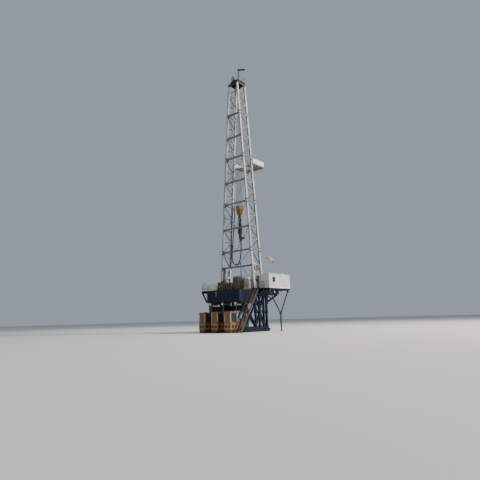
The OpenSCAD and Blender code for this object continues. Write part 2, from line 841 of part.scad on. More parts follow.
// Smooth curve through the route's points
function route_point(p, i, t) = let (
        a = p[max(i - 1, 0)], b = p[i], c = p[i + 1], d = p[min(i + 2, len(p) - 1)],
        first = t * (c - a), second = t * t * (2 * a - 5 * b + 4 * c - d),
        third = t * t * t * (3 * b - a - 3 * c + d)
    ) 0.5 * (2 * b + first + second + third);
function smooth(p, n) = concat(
    [for (i = [0 : len(p) - 2], k = [0 : n - 1]) route_point(p, i, k / n)], [p[len(p) - 1]]);
function unit(v) = v / norm(v);

// Tube along a list of points, with flat ends square to its first and last stretch
module tube(p, d, sides) {
    n = len(p);
    function ring(i) = let (
            t = i == 0 || i == n - 1 ? [0, 0, i == 0 ? -1 : 1] : unit(p[i + 1] - p[i - 1]),
            u = unit(cross(t, [0, 1, 0])), v = cross(t, u)
        ) [for (k = [0 : sides - 1]) p[i] + d / 2 * (cos(360 * k / sides) * u + sin(360 * k / sides) * v)];
    points = [for (i = [0 : n - 1]) each ring(i)];
    faces = concat(
        [[for (k = [0 : sides - 1]) k]],
        [[for (k = [sides - 1 : -1 : 0]) (n - 1) * sides + k]],
        [for (i = [0 : n - 2], k = [0 : sides - 1]) let (j = (k + 1) % sides)
            each [[i * sides + k, (i + 1) * sides + k, (i + 1) * sides + j],
                  [i * sides + k, (i + 1) * sides + j, i * sides + j]]]
    );
    polyhedron(points, faces);
}

module rotary_hose() {
    color(black) placed() tube(smooth(hose_route, hose_steps), hose_d, hose_sides);
}

// Falls of wire rope between the crown and the block
module drilling_lines() {
    color(dark_grey) placed()
        for (i = [0 : sheave_count - 1], s = [-1, 1])
            translate([(i - (sheave_count - 1) / 2) * sheave_pitch, s * rope_y, block_z])
                cylinder(d = rope_d, h = crown_shaft_z - block_z, $fn = 16);
}

// Taut line from the crown to the drum
module fast_line() {
    color(dark_grey) placed()
        rod([fast_x, fast_shaft_y + rope_y, mast_top_z + fast_shaft_h],
            [fast_x, drum_y - drum_d / 2 - rope_d / 2 - gap, drum_z], rope_d);
}

// Drop-shaped side plate of the travelling block
cheek_drop = 118;
cheek_tip_r = 26;
module block_cheek() {
    r = sheave_d / 2 + 8;
    dip = asin((r - cheek_tip_r) / cheek_drop);
    side = [cos(dip), -sin(dip)];
    circle(r = r, $fn = 64);
    translate([0, -cheek_drop]) circle(r = cheek_tip_r, $fn = 32);
    polygon([[r * side[0], r * side[1]], [cheek_tip_r * side[0], cheek_tip_r * side[1] - cheek_drop],
             [-cheek_tip_r * side[0], cheek_tip_r * side[1] - cheek_drop], [-r * side[0], r * side[1]]]);
}
module travelling_block() {
    color(yellow) placed() translate([0, 0, block_z]) {
        for (x = [-block_w / 2, block_w / 2 - cheek_t])
            difference() {
                along_x(x, cheek_t) block_cheek();
                translate([x - 1, 0, 0]) rotate([0, 90, 0])
                    cylinder(d = shaft_d + 2 * gap, h = cheek_t + 2, $fn = 32);
            }
        block([-block_w / 2 + 1, -24, 8 - block_drop], [block_w / 2 - 1, 24, -sheave_d / 2 - 12]);
        translate([0, 0, -block_drop]) cylinder(d = 34, h = 14, $fn = 32);
    }
}

module block_sheaves() {
    color(yellow) placed() translate([0, 0, block_z]) {
        translate([-block_w / 2, 0, 0]) rotate([0, 90, 0]) cylinder(d = shaft_d, h = block_w, $fn = 32);
        for (i = [0 : sheave_count - 1])
            translate([(i - (sheave_count - 1) / 2) * sheave_pitch, 0, 0]) sheave(shaft_d - 2);
    }
}

// Hook under the block, with its neck, collar and shoulders
neck_d = 44;
neck_h = 230;
collar_z = 18;
hook_collar_d = 64;
collar_h = 48;
shoulder_d = 74;
shoulder_h = 34;
hook_d = 96;
hook_h = 90;
hook_z = block_bottom - neck_h;
hook_low = hook_z - shoulder_h - hook_h;
module hook() {
    color(yellow) placed() {
        translate([0, 0, hook_z]) cylinder(d = neck_d, h = neck_h, $fn = 32);
        translate([0, 0, hook_z + collar_z]) cylinder(d = hook_collar_d, h = collar_h, $fn = 48);
        translate([0, 0, hook_z - shoulder_h]) cylinder(d = shoulder_d, h = shoulder_h, $fn = 48);
        translate([0, 0, hook_low]) cylinder(d1 = hook_d, d2 = shoulder_d, h = hook_h, $fn = 48);
    }
}

// Swivel with its bent inlet, its stem and the motor at its side
swivel_d = 58;
stem_d = 36;
stem_bottom = outlet_z - 100;
swivel_low = outlet_z - 24;
side_motor_d = 26;
side_motor_l = 44;
module swivel() {
    color(dark_grey) placed() {
        translate([0, 0, swivel_low]) cylinder(d = swivel_d, h = hook_low - swivel_low, $fn = 48);
        translate([0, 0, stem_bottom]) cylinder(d = stem_d, h = swivel_low - stem_bottom + 1, $fn = 48);
        rotate([0, 0, swivel_turn]) {
            translate([outlet_r - hose_d, 0, outlet_z + 16]) rotate([90, 0, 0])
                rotate_extrude(angle = 90, $fn = 32) translate([hose_d, 0]) circle(d = hose_d - 3, $fn = 24);
            translate([outlet_r, 0, outlet_z]) cylinder(d = hose_d + 2, h = 17, $fn = 24);
        }
        translate([-swivel_d / 2 - side_motor_l, 0, swivel_low + 14]) rotate([0, 90, 0])
            cylinder(d = side_motor_d, h = side_motor_l + 2, $fn = 32);
    }
}

// Frame that carries the doghouse beside the floor
module doghouse_floor() {
    color(navy) placed() {
        block([dog_out, dog_front, floor_z - deck_t], [dog_in, dog_rear, floor_z]);
        difference() {
            block([dog_out, dog_front, dog_base_z], [dog_in, dog_rear, floor_z - deck_t]);
            block([dog_out + 10, dog_front + 10, dog_base_z - 1],
                  [dog_in - 10, dog_rear - 10, floor_z - deck_t]);
        }
    }
}

// Outline of a ribbed wall that runs along X, its outer face towards -Y
rib_slope = 4;
module ribbed(length) {
    n = max(1, floor((length - 20) / rib_pitch));
    start = (length - n * rib_pitch) / 2;
    half = rib_pitch / 2;
    polygon(concat(
        [[0, wall_t], [0, 0]],
        [for (i = [0 : n - 1]) let (x = start + i * rib_pitch)
            each [[x + rib_slope, 0], [x + 2 * rib_slope, rib_d],
                  [x + half, rib_d], [x + half + rib_slope, 0]]],
        [[length, 0], [length, wall_t]]
    ));
}

// Walls of the doghouse, in four ribbed sheets
window_y = -140;
window_z = floor_z + 110;
door_y = -320;
module doghouse_walls() {
    inner_w = doghouse_w - 2 * wall_t;
    color("#dfe0dc") placed() translate([0, 0, floor_z]) {
        difference() {
            translate([dog_out, dog_rear, 0]) rotate(-90)
                linear_extrude(height = doghouse_h) ribbed(doghouse_l);
            block([dog_out - 1, window_y - window_w / 2, window_z - floor_z],
                  [dog_out + wall_t + 1, window_y + window_w / 2, window_z - floor_z + window_h]);
        }
        difference() {
            translate([dog_in, dog_front, 0]) rotate(90)
                linear_extrude(height = doghouse_h) ribbed(doghouse_l);
            block([dog_in - wall_t - 1, door_y - door_w / 2, -1],
                  [dog_in + 1, door_y + door_w / 2, door_h]);
        }
        translate([dog_out + wall_t, dog_front, 0])
            linear_extrude(height = doghouse_h) ribbed(inner_w);
        translate([dog_in - wall_t, dog_rear, 0]) rotate(180)
            linear_extrude(height = doghouse_h) ribbed(inner_w);
    }
}

module doghouse_roof() {
    color("#e4e4e0") placed()
        block([dog_out - roof_over, dog_front - roof_over, dog_roof_z],
              [dog_in + roof_over, dog_rear + roof_over, dog_roof_z + roof_t]);
}

module doghouse_door() {
    color("#c9cac6") placed()
        block([dog_in - wall_t + 3, door_y - door_w / 2 + gap, floor_z + gap],
              [dog_in - 2, door_y + door_w / 2 - gap, floor_z + door_h - gap]);
}

module doghouse_glass() {
    color("#3c4a55") placed()
        block([dog_out + 4, window_y - window_w / 2 + gap, window_z + gap],
              [dog_out + 6, window_y + window_w / 2 - gap, window_z + window_h - gap]);
}

// V-shaped struts with a foot, under the outer edge of the doghouse
strut_w = 16;
strut_x = dog_out + strut_w / 2 + 2;
strut_mid_y = -doghouse_l / 2;
strut_apex_z = 300;
module doghouse_struts() {
    color("#5b5a37") placed()
        along_x(strut_x - strut_w / 2, strut_w) intersection() {
            translate([dog_front, 0]) square([doghouse_l, dog_base_z]);
            union() {
                strip([strut_mid_y, strut_apex_z], [dog_rear, dog_base_z - 10], strut_w);
                strip([strut_mid_y, strut_apex_z], [dog_front + 40, dog_base_z + 20], strut_w);
                translate([strut_mid_y - strut_w / 2, 0]) square([strut_w, strut_apex_z + 10]);
                translate([strut_mid_y - 30, 0]) square([60, 12]);
            }
        }
}

// Landing between the doghouse, the floor and the stair, on two brackets
landing_bracket_t = 8;
module stair_landing() {
    front = dog_rear + roof_over + gap;
    under = floor_z - deck_t;
    color(navy) placed() {
        block([stair_out, front, under], [-floor_half_w, landing_rear, floor_z]);
        for (y = [front + 10, floor_rear - 6 - landing_bracket_t])
            along_y(y + landing_bracket_t, landing_bracket_t)
                polygon([[-floor_half_w, under], [stair_out, under],
                         [stair_out, under - bracket_rim], [-floor_half_w, floor_under]]);
    }
}

// Stair beside the rear platform
stringer_t = 6;
stringer_d = 24;
tread_d = 22;
tread_t = 3;
module stair() {
    drop = stringer_d / sin(stair_angle);
    n = floor(floor_z / stair_rise) - 1;
    color(yellow) placed() {
        for (x = [stair_out, stair_in - stringer_t])
            along_x(x, stringer_t)
                polygon([[landing_rear + gap, floor_z], [landing_rear + gap, floor_z - 2 * stringer_d],
                         [landing_rear + stair_run - 2 * drop, 0], [landing_rear + stair_run, 0]]);
        for (i = [1 : n])
            let (z = floor_z - i * stair_rise, y = landing_rear + i * stair_rise / tan(stair_angle))
            block([stair_out + stringer_t - 1, max(y - tread_d, landing_rear + gap), z - tread_t],
                  [stair_in - stringer_t + 1, y, z]);
    }
}

// Rail from p to q with its posts
module rail_run(p, q) {
    v = q - p;
    n = max(1, ceil(norm(v) / rail_pitch));
    up = [0, 0, rail_h];
    for (h = [0.5, 1]) rod(p + h * up, q + h * up, rail_d);
    for (i = [0 : n]) rod(p + v * i / n, p + v * i / n + up, rail_d);
    for (e = [p, q]) translate(e + up) sphere(d = rail_d, $fn = 24);
}

module handrails() {
    edge = rail_d / 2 + 2;
    color(cream) placed() {
        rail_run([walkway_x - edge, floor_rear + 20, platform_z],
                 [walkway_x - edge, platform_rear - edge - rail_d - 1, platform_z]);
        rail_run([walkway_x - edge, platform_rear - edge, platform_z],
                 [-platform_half_w + edge, platform_rear - edge, platform_z]);
    }
}

// One engine's skid beams
function engine_place(i) = i * engine_pitch;
module engine_skids() {
    color(maroon) placed()
        for (i = [-1 : 1])
            block([engine_place(i) - engine_skid_half, engine_front, 0],
                  [engine_place(i) + engine_skid_half, engine_rear, engine_skid_h]);
}

// Engine blocks with their cylinder banks
module engines() {
    color(orange) placed()
        for (i = [-1 : 1])
            translate([engine_place(i), 0, engine_skid_h])
                along_y(radiator_front - 10, radiator_front - 10 - engine_front - 20)
                    polygon([[-30, 0], [30, 0], [36, 60], [50, 150], [24, engine_h], [-24, engine_h],
                             [-50, 150], [-36, 60]]);
}

// Orange radiator housings on their frames with round holes
frame_hole_d = 52;
module radiators() {
    color(orange) placed()
        for (i = [-1 : 1])
            translate([engine_place(i), 0, 0]) difference() {
                block([-radiator_w / 2, radiator_front, engine_skid_h],
                      [radiator_w / 2, engine_rear, radiator_top]);
                for (y = [0.27, 0.73] * radiator_d)
                    translate([-radiator_w, radiator_front + y, engine_skid_h + radiator_base_h / 2])
                        rotate([0, 90, 0]) cylinder(d = frame_hole_d, h = 2 * radiator_w, $fn = 48);
            }
}

// Silver mufflers on their stacks
module mufflers() {
    stack_z = engine_skid_h + engine_h;
    color(silver) placed()
        for (i = [-1 : 1])
            translate([engine_place(i), stack_y, 0]) {
                translate([0, 0, stack_z]) cylinder(d = stack_d, h = muffler_z - stack_z, $fn = 32);
                translate([0, muffler_rear - stack_y, muffler_z]) rotate([90, 0, 0])
                    cylinder(d = muffler_d, h = muffler_l, $fn = 48);
            }
}

// Pole on the doghouse roof
sock_x = dog_out + 66;
sock_y = dog_rear - 12;
sock_z = 1290;
hoop_d = 46;
sock_tail_d = 26;
sock_l = 165;
sock_turn = 250;
sock_droop = 38;
pole_d = 6;
collar_d = pole_d + 6;
hoop_reach = collar_d / 2 + 3;
hoop_t = 4;
module windsock_pole() {
    color(silver) placed() translate([sock_x, sock_y, dog_roof_z + roof_t]) {
        cylinder(d = pole_d, h = sock_z + 30 - dog_roof_z - roof_t, $fn = 24);
        cylinder(d = 16, h = 4, $fn = 24);
    }
}

// Moves to the hoop's centre and turns +Z along the sleeve
module on_sock() {
    translate([sock_x, sock_y, sock_z]) rotate([0, 0, sock_turn]) translate([hoop_reach + hoop_d / 2, 0, 0])
        rotate([0, 90 + sock_droop, 0]) children();
}

// Top and bottom of the hoop's rim, seen from the pole at the hoop's height
function rim_point(s) = [
    hoop_reach + hoop_d / 2 + s * hoop_d / 2 * sin(sock_droop) - hoop_t / 2 * cos(sock_droop), 0,
    s * hoop_d / 2 * cos(sock_droop) + hoop_t / 2 * sin(sock_droop)];

// Hoop that turns on the pole, with its collar and two arms
module windsock_ring() {
    top = rim_point(1);
    low = rim_point(-1);
    color(silver) placed() {
        translate([sock_x, sock_y, sock_z]) rotate([0, 0, sock_turn]) difference() {
            union() {
                translate([0, 0, low[2] - 4]) cylinder(d = collar_d, h = top[2] - low[2] + 8, $fn = 24);
                for (p = [low, top]) rod([0, 0, p[2]], p, 3);
            }
            translate([0, 0, low[2] - 5])
                cylinder(d = pole_d + 2 * gap, h = top[2] - low[2] + 10, $fn = 24);
        }
        on_sock() translate([0, 0, -hoop_t]) difference() {
            cylinder(d = hoop_d + 2, h = hoop_t, $fn = 48);
            translate([0, 0, -1]) cylinder(d = hoop_d - 2, h = hoop_t + 2, $fn = 48);
        }
    }
}

// Cloth sleeve that hangs from the hoop
module windsock_sleeve() {
    color(orange) placed() on_sock() difference() {
        cylinder(d1 = hoop_d, d2 = sock_tail_d, h = sock_l, $fn = 32);
        translate([0, 0, -1]) cylinder(d1 = hoop_d - 4, d2 = sock_tail_d - 4, h = sock_l + 2, $fn = 32);
    }
}

// Small lamp post at the end of the walkway
lamp_h = 150;
lamp_w = 28;
module lamp_post() {
    color(dark_grey) placed() translate([walkway_x - 40, platform_rear - 30, platform_z]) {
        cylinder(d = 8, h = lamp_h, $fn = 24);
        translate([-lamp_w / 2, -8, lamp_h - 4]) cube([lamp_w, 16, 12]);
    }
}

base_skids();
side_frames();
cross_frames();
drill_floor();
rear_platform();
floor_knees();
rotary_table();
drill_pipe();
drawworks_frame();
drawworks_drum();
drawworks_gearcase();
drawworks_cover();
drawworks_motors();
mast_side_left();
mast_side_right();
mast_back_bracing();
mast_shoes();
a_frames();
crown_frame();
crown_sheaves();
gin_pole();
monkey_board();
monkey_wind_walls();
standpipe();
rotary_hose();
drilling_lines();
fast_line();
travelling_block();
block_sheaves();
hook();
swivel();
doghouse_floor();
doghouse_walls();
doghouse_roof();
doghouse_door();
doghouse_glass();
doghouse_struts();
stair_landing();
stair();
handrails();
engine_skids();
engines();
radiators();
mufflers();
windsock_pole();
windsock_ring();
windsock_sleeve();
lamp_post();
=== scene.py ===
import math
from itertools import product

import bpy
from bpy.props import FloatProperty, FloatVectorProperty, IntProperty, PointerProperty
from bpy.types import Operator, Panel, PropertyGroup
from mathutils import Matrix, Vector


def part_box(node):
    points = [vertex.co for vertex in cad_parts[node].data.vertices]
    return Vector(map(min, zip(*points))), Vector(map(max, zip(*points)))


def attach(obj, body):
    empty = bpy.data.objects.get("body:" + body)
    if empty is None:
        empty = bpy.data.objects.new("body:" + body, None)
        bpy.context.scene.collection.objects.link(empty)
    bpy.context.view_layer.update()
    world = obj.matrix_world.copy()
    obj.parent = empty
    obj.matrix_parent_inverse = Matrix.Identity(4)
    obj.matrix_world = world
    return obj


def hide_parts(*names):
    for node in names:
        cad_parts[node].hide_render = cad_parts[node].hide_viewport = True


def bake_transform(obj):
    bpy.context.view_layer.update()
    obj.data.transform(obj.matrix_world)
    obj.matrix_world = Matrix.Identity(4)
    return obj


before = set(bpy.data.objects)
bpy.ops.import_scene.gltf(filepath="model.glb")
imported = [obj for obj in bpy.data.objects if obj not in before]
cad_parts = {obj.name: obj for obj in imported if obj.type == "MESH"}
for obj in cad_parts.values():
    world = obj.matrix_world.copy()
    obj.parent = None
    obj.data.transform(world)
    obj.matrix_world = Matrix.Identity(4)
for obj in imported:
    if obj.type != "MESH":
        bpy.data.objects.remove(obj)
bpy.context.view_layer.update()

bl_info = {
    "name": "Drilling rig",
    "version": (1, 0, 0),
    "blender": (4, 5, 0),
    "location": "View3D > Sidebar > Rig",
    "description": "Dresses the 1:10 drilling rig with its paint, ropes, rails and small steelwork",
    "category": "Object",
}

MM = 0.001
SIDES = (-1, 1)

# The well's centre, read from the frame
well_low, well_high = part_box("rotary_table")
WELL = Vector(((well_low.x + well_high.x) / 2, (well_low.y + well_high.y) / 2, 0))


def at(x, y, z):
    """A place in the row frame, from millimetres measured from the well at ground level."""
    return WELL + Vector((x, y, z)) * MM


def reach(node):
    """Lowest and highest corner of a node, in millimetres from the well."""
    low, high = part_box(node)
    return (low - WELL) / MM, (high - WELL) / MM


# Heights of the decks, and the mast's legs, in millimetres
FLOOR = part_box("drill_floor")[1].z / MM
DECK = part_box("rear_platform")[1].z / MM
side_low, side_high = reach("mast_side_left")
LEG_W = 34.0
FOOT_HALF = -side_low.x - LEG_W / 2
TOP_HALF = reach("mast_side_right")[0].x + LEG_W / 2
LEG_Y = side_high.y - LEG_W / 2
MAST_TOP = side_high.z
MAST_H = MAST_TOP - FLOOR

# Heights of the mast's girts and splices above the ground
GIRTS = [FLOOR + h for h in (420.0, 720.0, 1159.9, 1656.0, 2095.9, 2592.0, 3031.9, 3528.0)]
SPLICES = [FLOOR + h for h in (720.0, 1656.0, 2592.0, 3528.0)]

# Usual height of one panel of the mast's side bracing
PANEL_H = 230.0


def leg_x(z):
    """Distance of a leg's centre from the well at a height above the ground."""
    return FOOT_HALF + (TOP_HALF - FOOT_HALF) * (z - FLOOR) / MAST_H


def leg_at(side, y, z):
    """Place on a leg's lean, on the side given by -1 or 1."""
    return side * leg_x(z), y, z


def size_property(name, text, value):
    return FloatProperty(name=name, description=text, default=value, unit="LENGTH")


def colour_property(name, text, value):
    return FloatVectorProperty(name=name, description=text, default=value, subtype="COLOR")


class RigSizes(PropertyGroup):
    """Sizes of the pieces that are added round the frame."""

    hose_d: size_property("Hose", "Diameter of the rotary hose", 0.022)
    rope_d: size_property("Rope", "Diameter of the wire ropes", 0.004)
    rail_d: size_property("Rail", "Diameter of the thin rails", 0.005)
    rail_h: size_property("Rail height", "Height of the rails", 0.11)
    pin_d: size_property("Pin", "Diameter of the mast's splice pins", 0.022)
    bolt_d: size_property("Bolt", "Diameter of the bolt heads", 0.008)
    sock_folds: IntProperty(name="Sock folds", description="Folds round the windsock", default=7,
                            min=3, max=16)


class RigColours(PropertyGroup):
    """Colours of the rig's paints."""

    mast: colour_property("Mast", "Weathered white of the mast", (0.45, 0.46, 0.465))
    crown: colour_property("Crown", "Faded red of the crown", (0.036, 0.005, 0.013))
    base: colour_property("Base", "Navy of the substructure", (0.0042, 0.0085, 0.031))
    house: colour_property("House", "Off-white of the doghouse", (0.66, 0.65, 0.63))
    stair: colour_property("Stair", "Olive brown of the stair", (0.046, 0.036, 0.02))
    hoist: colour_property("Hoist", "Mustard of the gear cases", (0.20, 0.125, 0.028))
    motor: colour_property("Motor", "Rusty orange of the hoist's motors", (0.085, 0.040, 0.018))
    rail: colour_property("Rail", "Cream of the platform's rails", (0.44, 0.42, 0.33))
    engine: colour_property("Engine", "Orange of the engine sets", (0.26, 0.098, 0.034))
    block: colour_property("Block", "Golden yellow of the travelling block", (0.26, 0.15, 0.028))
    skid: colour_property("Skid", "Dark red of the engine skids", (0.12, 0.025, 0.02))
    sock: colour_property("Sock", "Orange-red of the windsock", (0.72, 0.15, 0.095))


class Wire:
    """One socket's value. Its operators add Math nodes to the finish that it belongs to."""

    def __init__(self, finish, socket):
        self.finish = finish
        self.socket = socket

    def math(self, operation, first, second):
        return self.finish.node("ShaderNodeMath", {"operation": operation}, {0: first, 1: second})

    def __add__(self, other):
        return self.math("ADD", self, other)

    def __radd__(self, other):
        return self.math("ADD", other, self)

    def __sub__(self, other):
        return self.math("SUBTRACT", self, other)

    def __rsub__(self, other):
        return self.math("SUBTRACT", other, self)

    def __mul__(self, other):
        return self.math("MULTIPLY", self, other)

    def __truediv__(self, other):
        return self.math("DIVIDE", self, other)

    def __gt__(self, other):
        return self.math("GREATER_THAN", self, other)


class Finish:
    """A material under construction, with one shader and the nodes that feed it."""

    def __init__(self, name, **shader):
        self.material = bpy.data.materials.new(name)
        self.material.use_nodes = True
        self.tree = self.material.node_tree
        self.shader = self.tree.nodes["Principled BSDF"]
        self.feed(**shader)

    def node(self, kind, settings=(), inputs=(), out=0):
        """Adds a node, with its settings first and then the values or links of its sockets."""
        made = self.tree.nodes.new(kind)
        for name, value in dict(settings).items():
            setattr(made, name, value)
        for name, value in dict(inputs).items():
            self.plug(value, made.inputs[name])
        return Wire(self, made.outputs[out])

    def plug(self, value, socket):
        if isinstance(value, Wire):
            self.tree.links.new(value.socket, socket)
        elif socket.type == "RGBA" and len(value) == 3:
            socket.default_value = (*value, 1)
        else:
            socket.default_value = value

    def feed(self, **sockets):
        """Plugs values or wires into the shader's sockets, named with underscores for blanks."""
        for name, value in sockets.items():
            self.plug(value, self.shader.inputs[name.replace("_", " ").title().replace("Ior", "IOR")])

    def place(self, stretch=(1, 1, 1)):
        """Object coordinates, stretched along the axes."""
        where = self.node("ShaderNodeTexCoord", out=3)
        return self.node("ShaderNodeMapping", (), {"Vector": where, "Scale": stretch})

    def split(self, vector, axis):
        return self.node("ShaderNodeSeparateXYZ", (), {0: vector}, out=axis)

    def part(self, axis):
        """One object coordinate: 0, 1 or 2 for X, Y or Z."""
        return self.split(self.node("ShaderNodeTexCoord", out=3), axis)

    def facing(self, axis):
        """How far a face looks along an axis: -1 to 1."""
        return self.split(self.node("ShaderNodeNewGeometry", out=1), axis)

    def absolute(self, value):
        return self.node("ShaderNodeMath", {"operation": "ABSOLUTE"}, {0: value})

    def noise(self, scale, detail=4.0, roughness=0.55, stretch=(1, 1, 1)):
        return self.node("ShaderNodeTexNoise", (), {
            "Vector": self.place(stretch), "Scale": scale, "Detail": detail, "Roughness": roughness})

    def wave(self, direction, scale, stretch=(1, 1, 1), **more):
        """Even bands that cross the direction."""
        return self.node("ShaderNodeTexWave", {"bands_direction": direction}, {
            "Vector": self.place(stretch), "Scale": scale, **more})

    def between(self, value, low, high):
        """0 below low, 1 above high and smooth in between."""
        return self.node("ShaderNodeMapRange", {"interpolation_type": "SMOOTHSTEP"}, {
            "Value": value, "From Min": low, "From Max": high})

    def mix(self, share, first, second):
        return self.node("ShaderNodeMix", {"data_type": "RGBA"}, {0: share, 6: first, 7: second}, out=2)

    def ramp(self, value, low, high, first, second):
        """The first colour below low, the second above high."""
        return self.mix(self.between(value, low, high), first, second)

    def bump(self, height, strength, distance):
        self.feed(normal=self.node("ShaderNodeBump", (), {
            "Height": height, "Strength": strength, "Distance": distance}))


def tint(colour, factor):
    return tuple(min(1.0, part * factor) for part in colour)


DUST = (0.15, 0.125, 0.105)
RUST = (0.13, 0.048, 0.02)

# Painted shade: the dark grey given to the mast's side braces between the legs, which stand in shade
BRACE_PAINTED_SHADE = (0.045, 0.05, 0.06)

# Spacing of the ribs in the doghouse's walls, and the first rib's distance from each wall's corner
RIB_PITCH = 0.028
RIB_START = (0.015, 0.022)


def paint(name, colour, grime=0.35, rust=0.12, roughness=0.5, streaks=0.5, beyond=None, axis=2, edge=0.0,
          shine=0.5, inside=None, half=0.0):
    """Outdoor paint: uneven fading, streaks that run down, dust, and rust that breaks through.

    Where beyond is given, it is the colour of all that lies past the edge along the axis, and inside is
    the colour of what lies nearer the well than half, front to rear, painted there as shade.
    """
    made = Finish(name, roughness=roughness, specular_ior_level=shine)
    fade = made.noise(3.5, 5.0)
    run = made.noise(9.0, 5.0, 0.6, (1, 1, 0.12))
    speck = made.noise(55.0, 6.0, 0.65)
    base = made.ramp(fade, 0.35, 0.7, tint(colour, 0.82), tint(colour, 1.12))
    # The inside colour is painted shade on the braces between the legs
    if inside:
        off = made.absolute(made.part(1) - WELL.y)
        base = made.ramp(off, half - 0.001, half + 0.001, inside, base)
    if beyond:
        base = made.ramp(made.part(axis), edge, edge + 0.004, base, beyond)
    dirt = made.between(run * streaks + fade * (1 - streaks), 0.44, 0.68)
    broken = made.between(speck * 0.6 + run * 0.4, 0.60 - rust * 0.35, 0.68 - rust * 0.3)
    made.feed(base_color=made.mix(broken * min(1.0, rust * 5), made.mix(dirt * grime, base, DUST), RUST),
              roughness=roughness + dirt * 0.22 + broken * 0.2)
    made.bump(speck * 0.6 + broken * 0.8, 0.25, 0.0015)
    return made.material


def greased_steel(name, colour, roughness=0.42):
    """Bare steel darkened by oil, with brighter rubbed places."""
    made = Finish(name, metallic=0.85, roughness=roughness)
    patches = made.noise(14.0, 5.0)
    grain = made.noise(120.0, 3.0, 0.5, (1, 1, 0.3))
    made.feed(base_color=made.ramp(patches, 0.4, 0.65, tint(colour, 0.55), tint(colour, 1.5)),
              roughness=made.between(patches, 0.3, 0.75) * 0.3 + roughness * 0.7)
    made.bump(grain + patches * 0.5, 0.2, 0.001)
    return made.material


def tread_steel(name, colour, tread):
    """Stair paint that is worn dark on the treads, between the two strings."""
    low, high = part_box("stair")
    made = Finish(name, roughness=0.55)
    wear = made.noise(16.0, 5.0)
    off = made.absolute(made.part(0) - (low.x + high.x) / 2)
    half = (high.x - low.x) / 2
    rail = made.ramp(wear, 0.42, 0.66, tint(colour, 1.15), tint(colour, 0.6))
    step = made.ramp(wear, 0.4, 0.7, tread, tint(tread, 2.2))
    made.feed(base_color=made.ramp(off, half - 0.009, half - 0.006, step, rail), roughness=0.45 + wear * 0.3)
    made.bump(made.noise(60.0, 4.0), 0.2, 0.001)
    return made.material


def heat_silver(name):
    """Silver heat-proof paint, blued and sooty in places."""
    made = Finish(name, metallic=0.75, roughness=0.38)
    soot = made.noise(30.0, 6.0, 0.7)
    base = made.ramp(made.noise(12.0, 4.0), 0.4, 0.7, (0.62, 0.63, 0.65), (0.40, 0.37, 0.34))
    made.feed(base_color=made.mix(made.between(soot, 0.56, 0.75) * 0.7, base, (0.10, 0.085, 0.08)),
              roughness=made.between(soot, 0.4, 0.8) * 0.35 + 0.3)
    made.bump(soot, 0.2, 0.001)
    return made.material


def hose_rubber(name):
    """Dark hose with a wrapped cover that runs round it."""
    made = Finish(name, roughness=0.55)
    dust = made.noise(20.0, 4.0)
    made.feed(base_color=made.ramp(dust, 0.45, 0.75, (0.0015, 0.0035, 0.012), (0.006, 0.009, 0.018)),
              roughness=0.45 + dust * 0.25)
    made.bump(made.wave("Z", 60.0, Distortion=1.2, Detail=2.0), 0.35, 0.001)
    return made.material


def wire_rope(name):
    """Wire rope with strands that twist round it."""
    made = Finish(name, metallic=0.7, roughness=0.5)
    oil = made.noise(8.0, 3.0, 0.5, (1, 1, 0.2))
    made.feed(base_color=made.ramp(oil, 0.4, 0.65, (0.035, 0.033, 0.03), (0.13, 0.125, 0.12)))
    made.bump(made.wave("DIAGONAL", 160.0, (1, 1, 0.5), Distortion=0.0), 0.6, 0.0008)
    return made.material


def deck_plate(name, colour, side_colour):
    """Chequered deck plate that feet have worn, on the faces that look up, and plain paint on the others."""
    made = Finish(name, roughness=0.6)
    up = made.facing(2) > 0.6
    worn = made.noise(5.0, 5.0, 0.6)
    crossing = made.wave("DIAGONAL", 30.0, (1, 1, 0)) * made.wave("DIAGONAL", 30.0, (-1, 1, 0))
    lug = made.between(crossing, 0.45, 0.6)
    plate = made.mix(lug * 0.35, made.ramp(worn, 0.42, 0.66, colour, (0.13, 0.115, 0.10)), (0.30, 0.29, 0.28))
    side = made.mix(worn, tint(side_colour, 0.8), tint(side_colour, 1.4))
    made.feed(base_color=made.mix(up, side, plate), roughness=0.45 + worn * 0.3)
    made.bump(lug * up, 0.35, 0.0015)
    return made.material


def ribbed_sheet(name, colour):
    """Painted wall sheet with its grooves painted darker as shade, rain streaks under its top edge and dust
    at its foot.
    """
    made = Finish(name, roughness=0.45)
    low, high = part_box("doghouse_walls")
    foot = 1 - made.between(made.part(2), low.z, low.z + 0.05)
    brow = made.between(made.part(2), high.z - 0.09, high.z)
    run = made.noise(26.0, 4.0, 0.6, (1, 1, 0.06))
    base = made.ramp(made.noise(5.0, 4.0), 0.35, 0.7, tint(colour, 0.90), tint(colour, 1.06))
    ends = made.absolute(made.facing(1)) > 0.5
    along = ((made.part(0) - low.x - RIB_START[0]) * ends
             + (made.part(1) - low.y - RIB_START[1]) * (1 - ends))
    turn = made.node("ShaderNodeMath", {"operation": "FRACT"}, {0: along / RIB_PITCH})
    # The grooves are painted darker: painted shade in the recesses
    groove_shade = made.between(turn, 0.12, 0.26) * (1 - made.between(turn, 0.52, 0.66))
    ribbed = made.mix(groove_shade * 0.4, base, tint(colour, 0.5))
    streak = made.between(run, 0.5, 0.72) * (brow * 0.4 + 0.14)
    streaked = made.mix(streak, ribbed, (0.30, 0.26, 0.22))
    made.feed(base_color=made.mix(foot * 0.08 * (run + 0.4), streaked, (0.30, 0.24, 0.21)),
              roughness=0.4 + run * 0.25)
    made.bump(made.noise(70.0, 4.0), 0.15, 0.001)
    return made.material


def dark_glass(name):
    """Dark window with a faint smear."""
    made = Finish(name, metallic=0.0, ior=1.45)
    smear = made.noise(25.0, 4.0)
    made.feed(roughness=0.05 + smear * 0.12,
              base_color=made.mix(smear, (0.012, 0.018, 0.025), (0.05, 0.06, 0.07)))
    return made.material


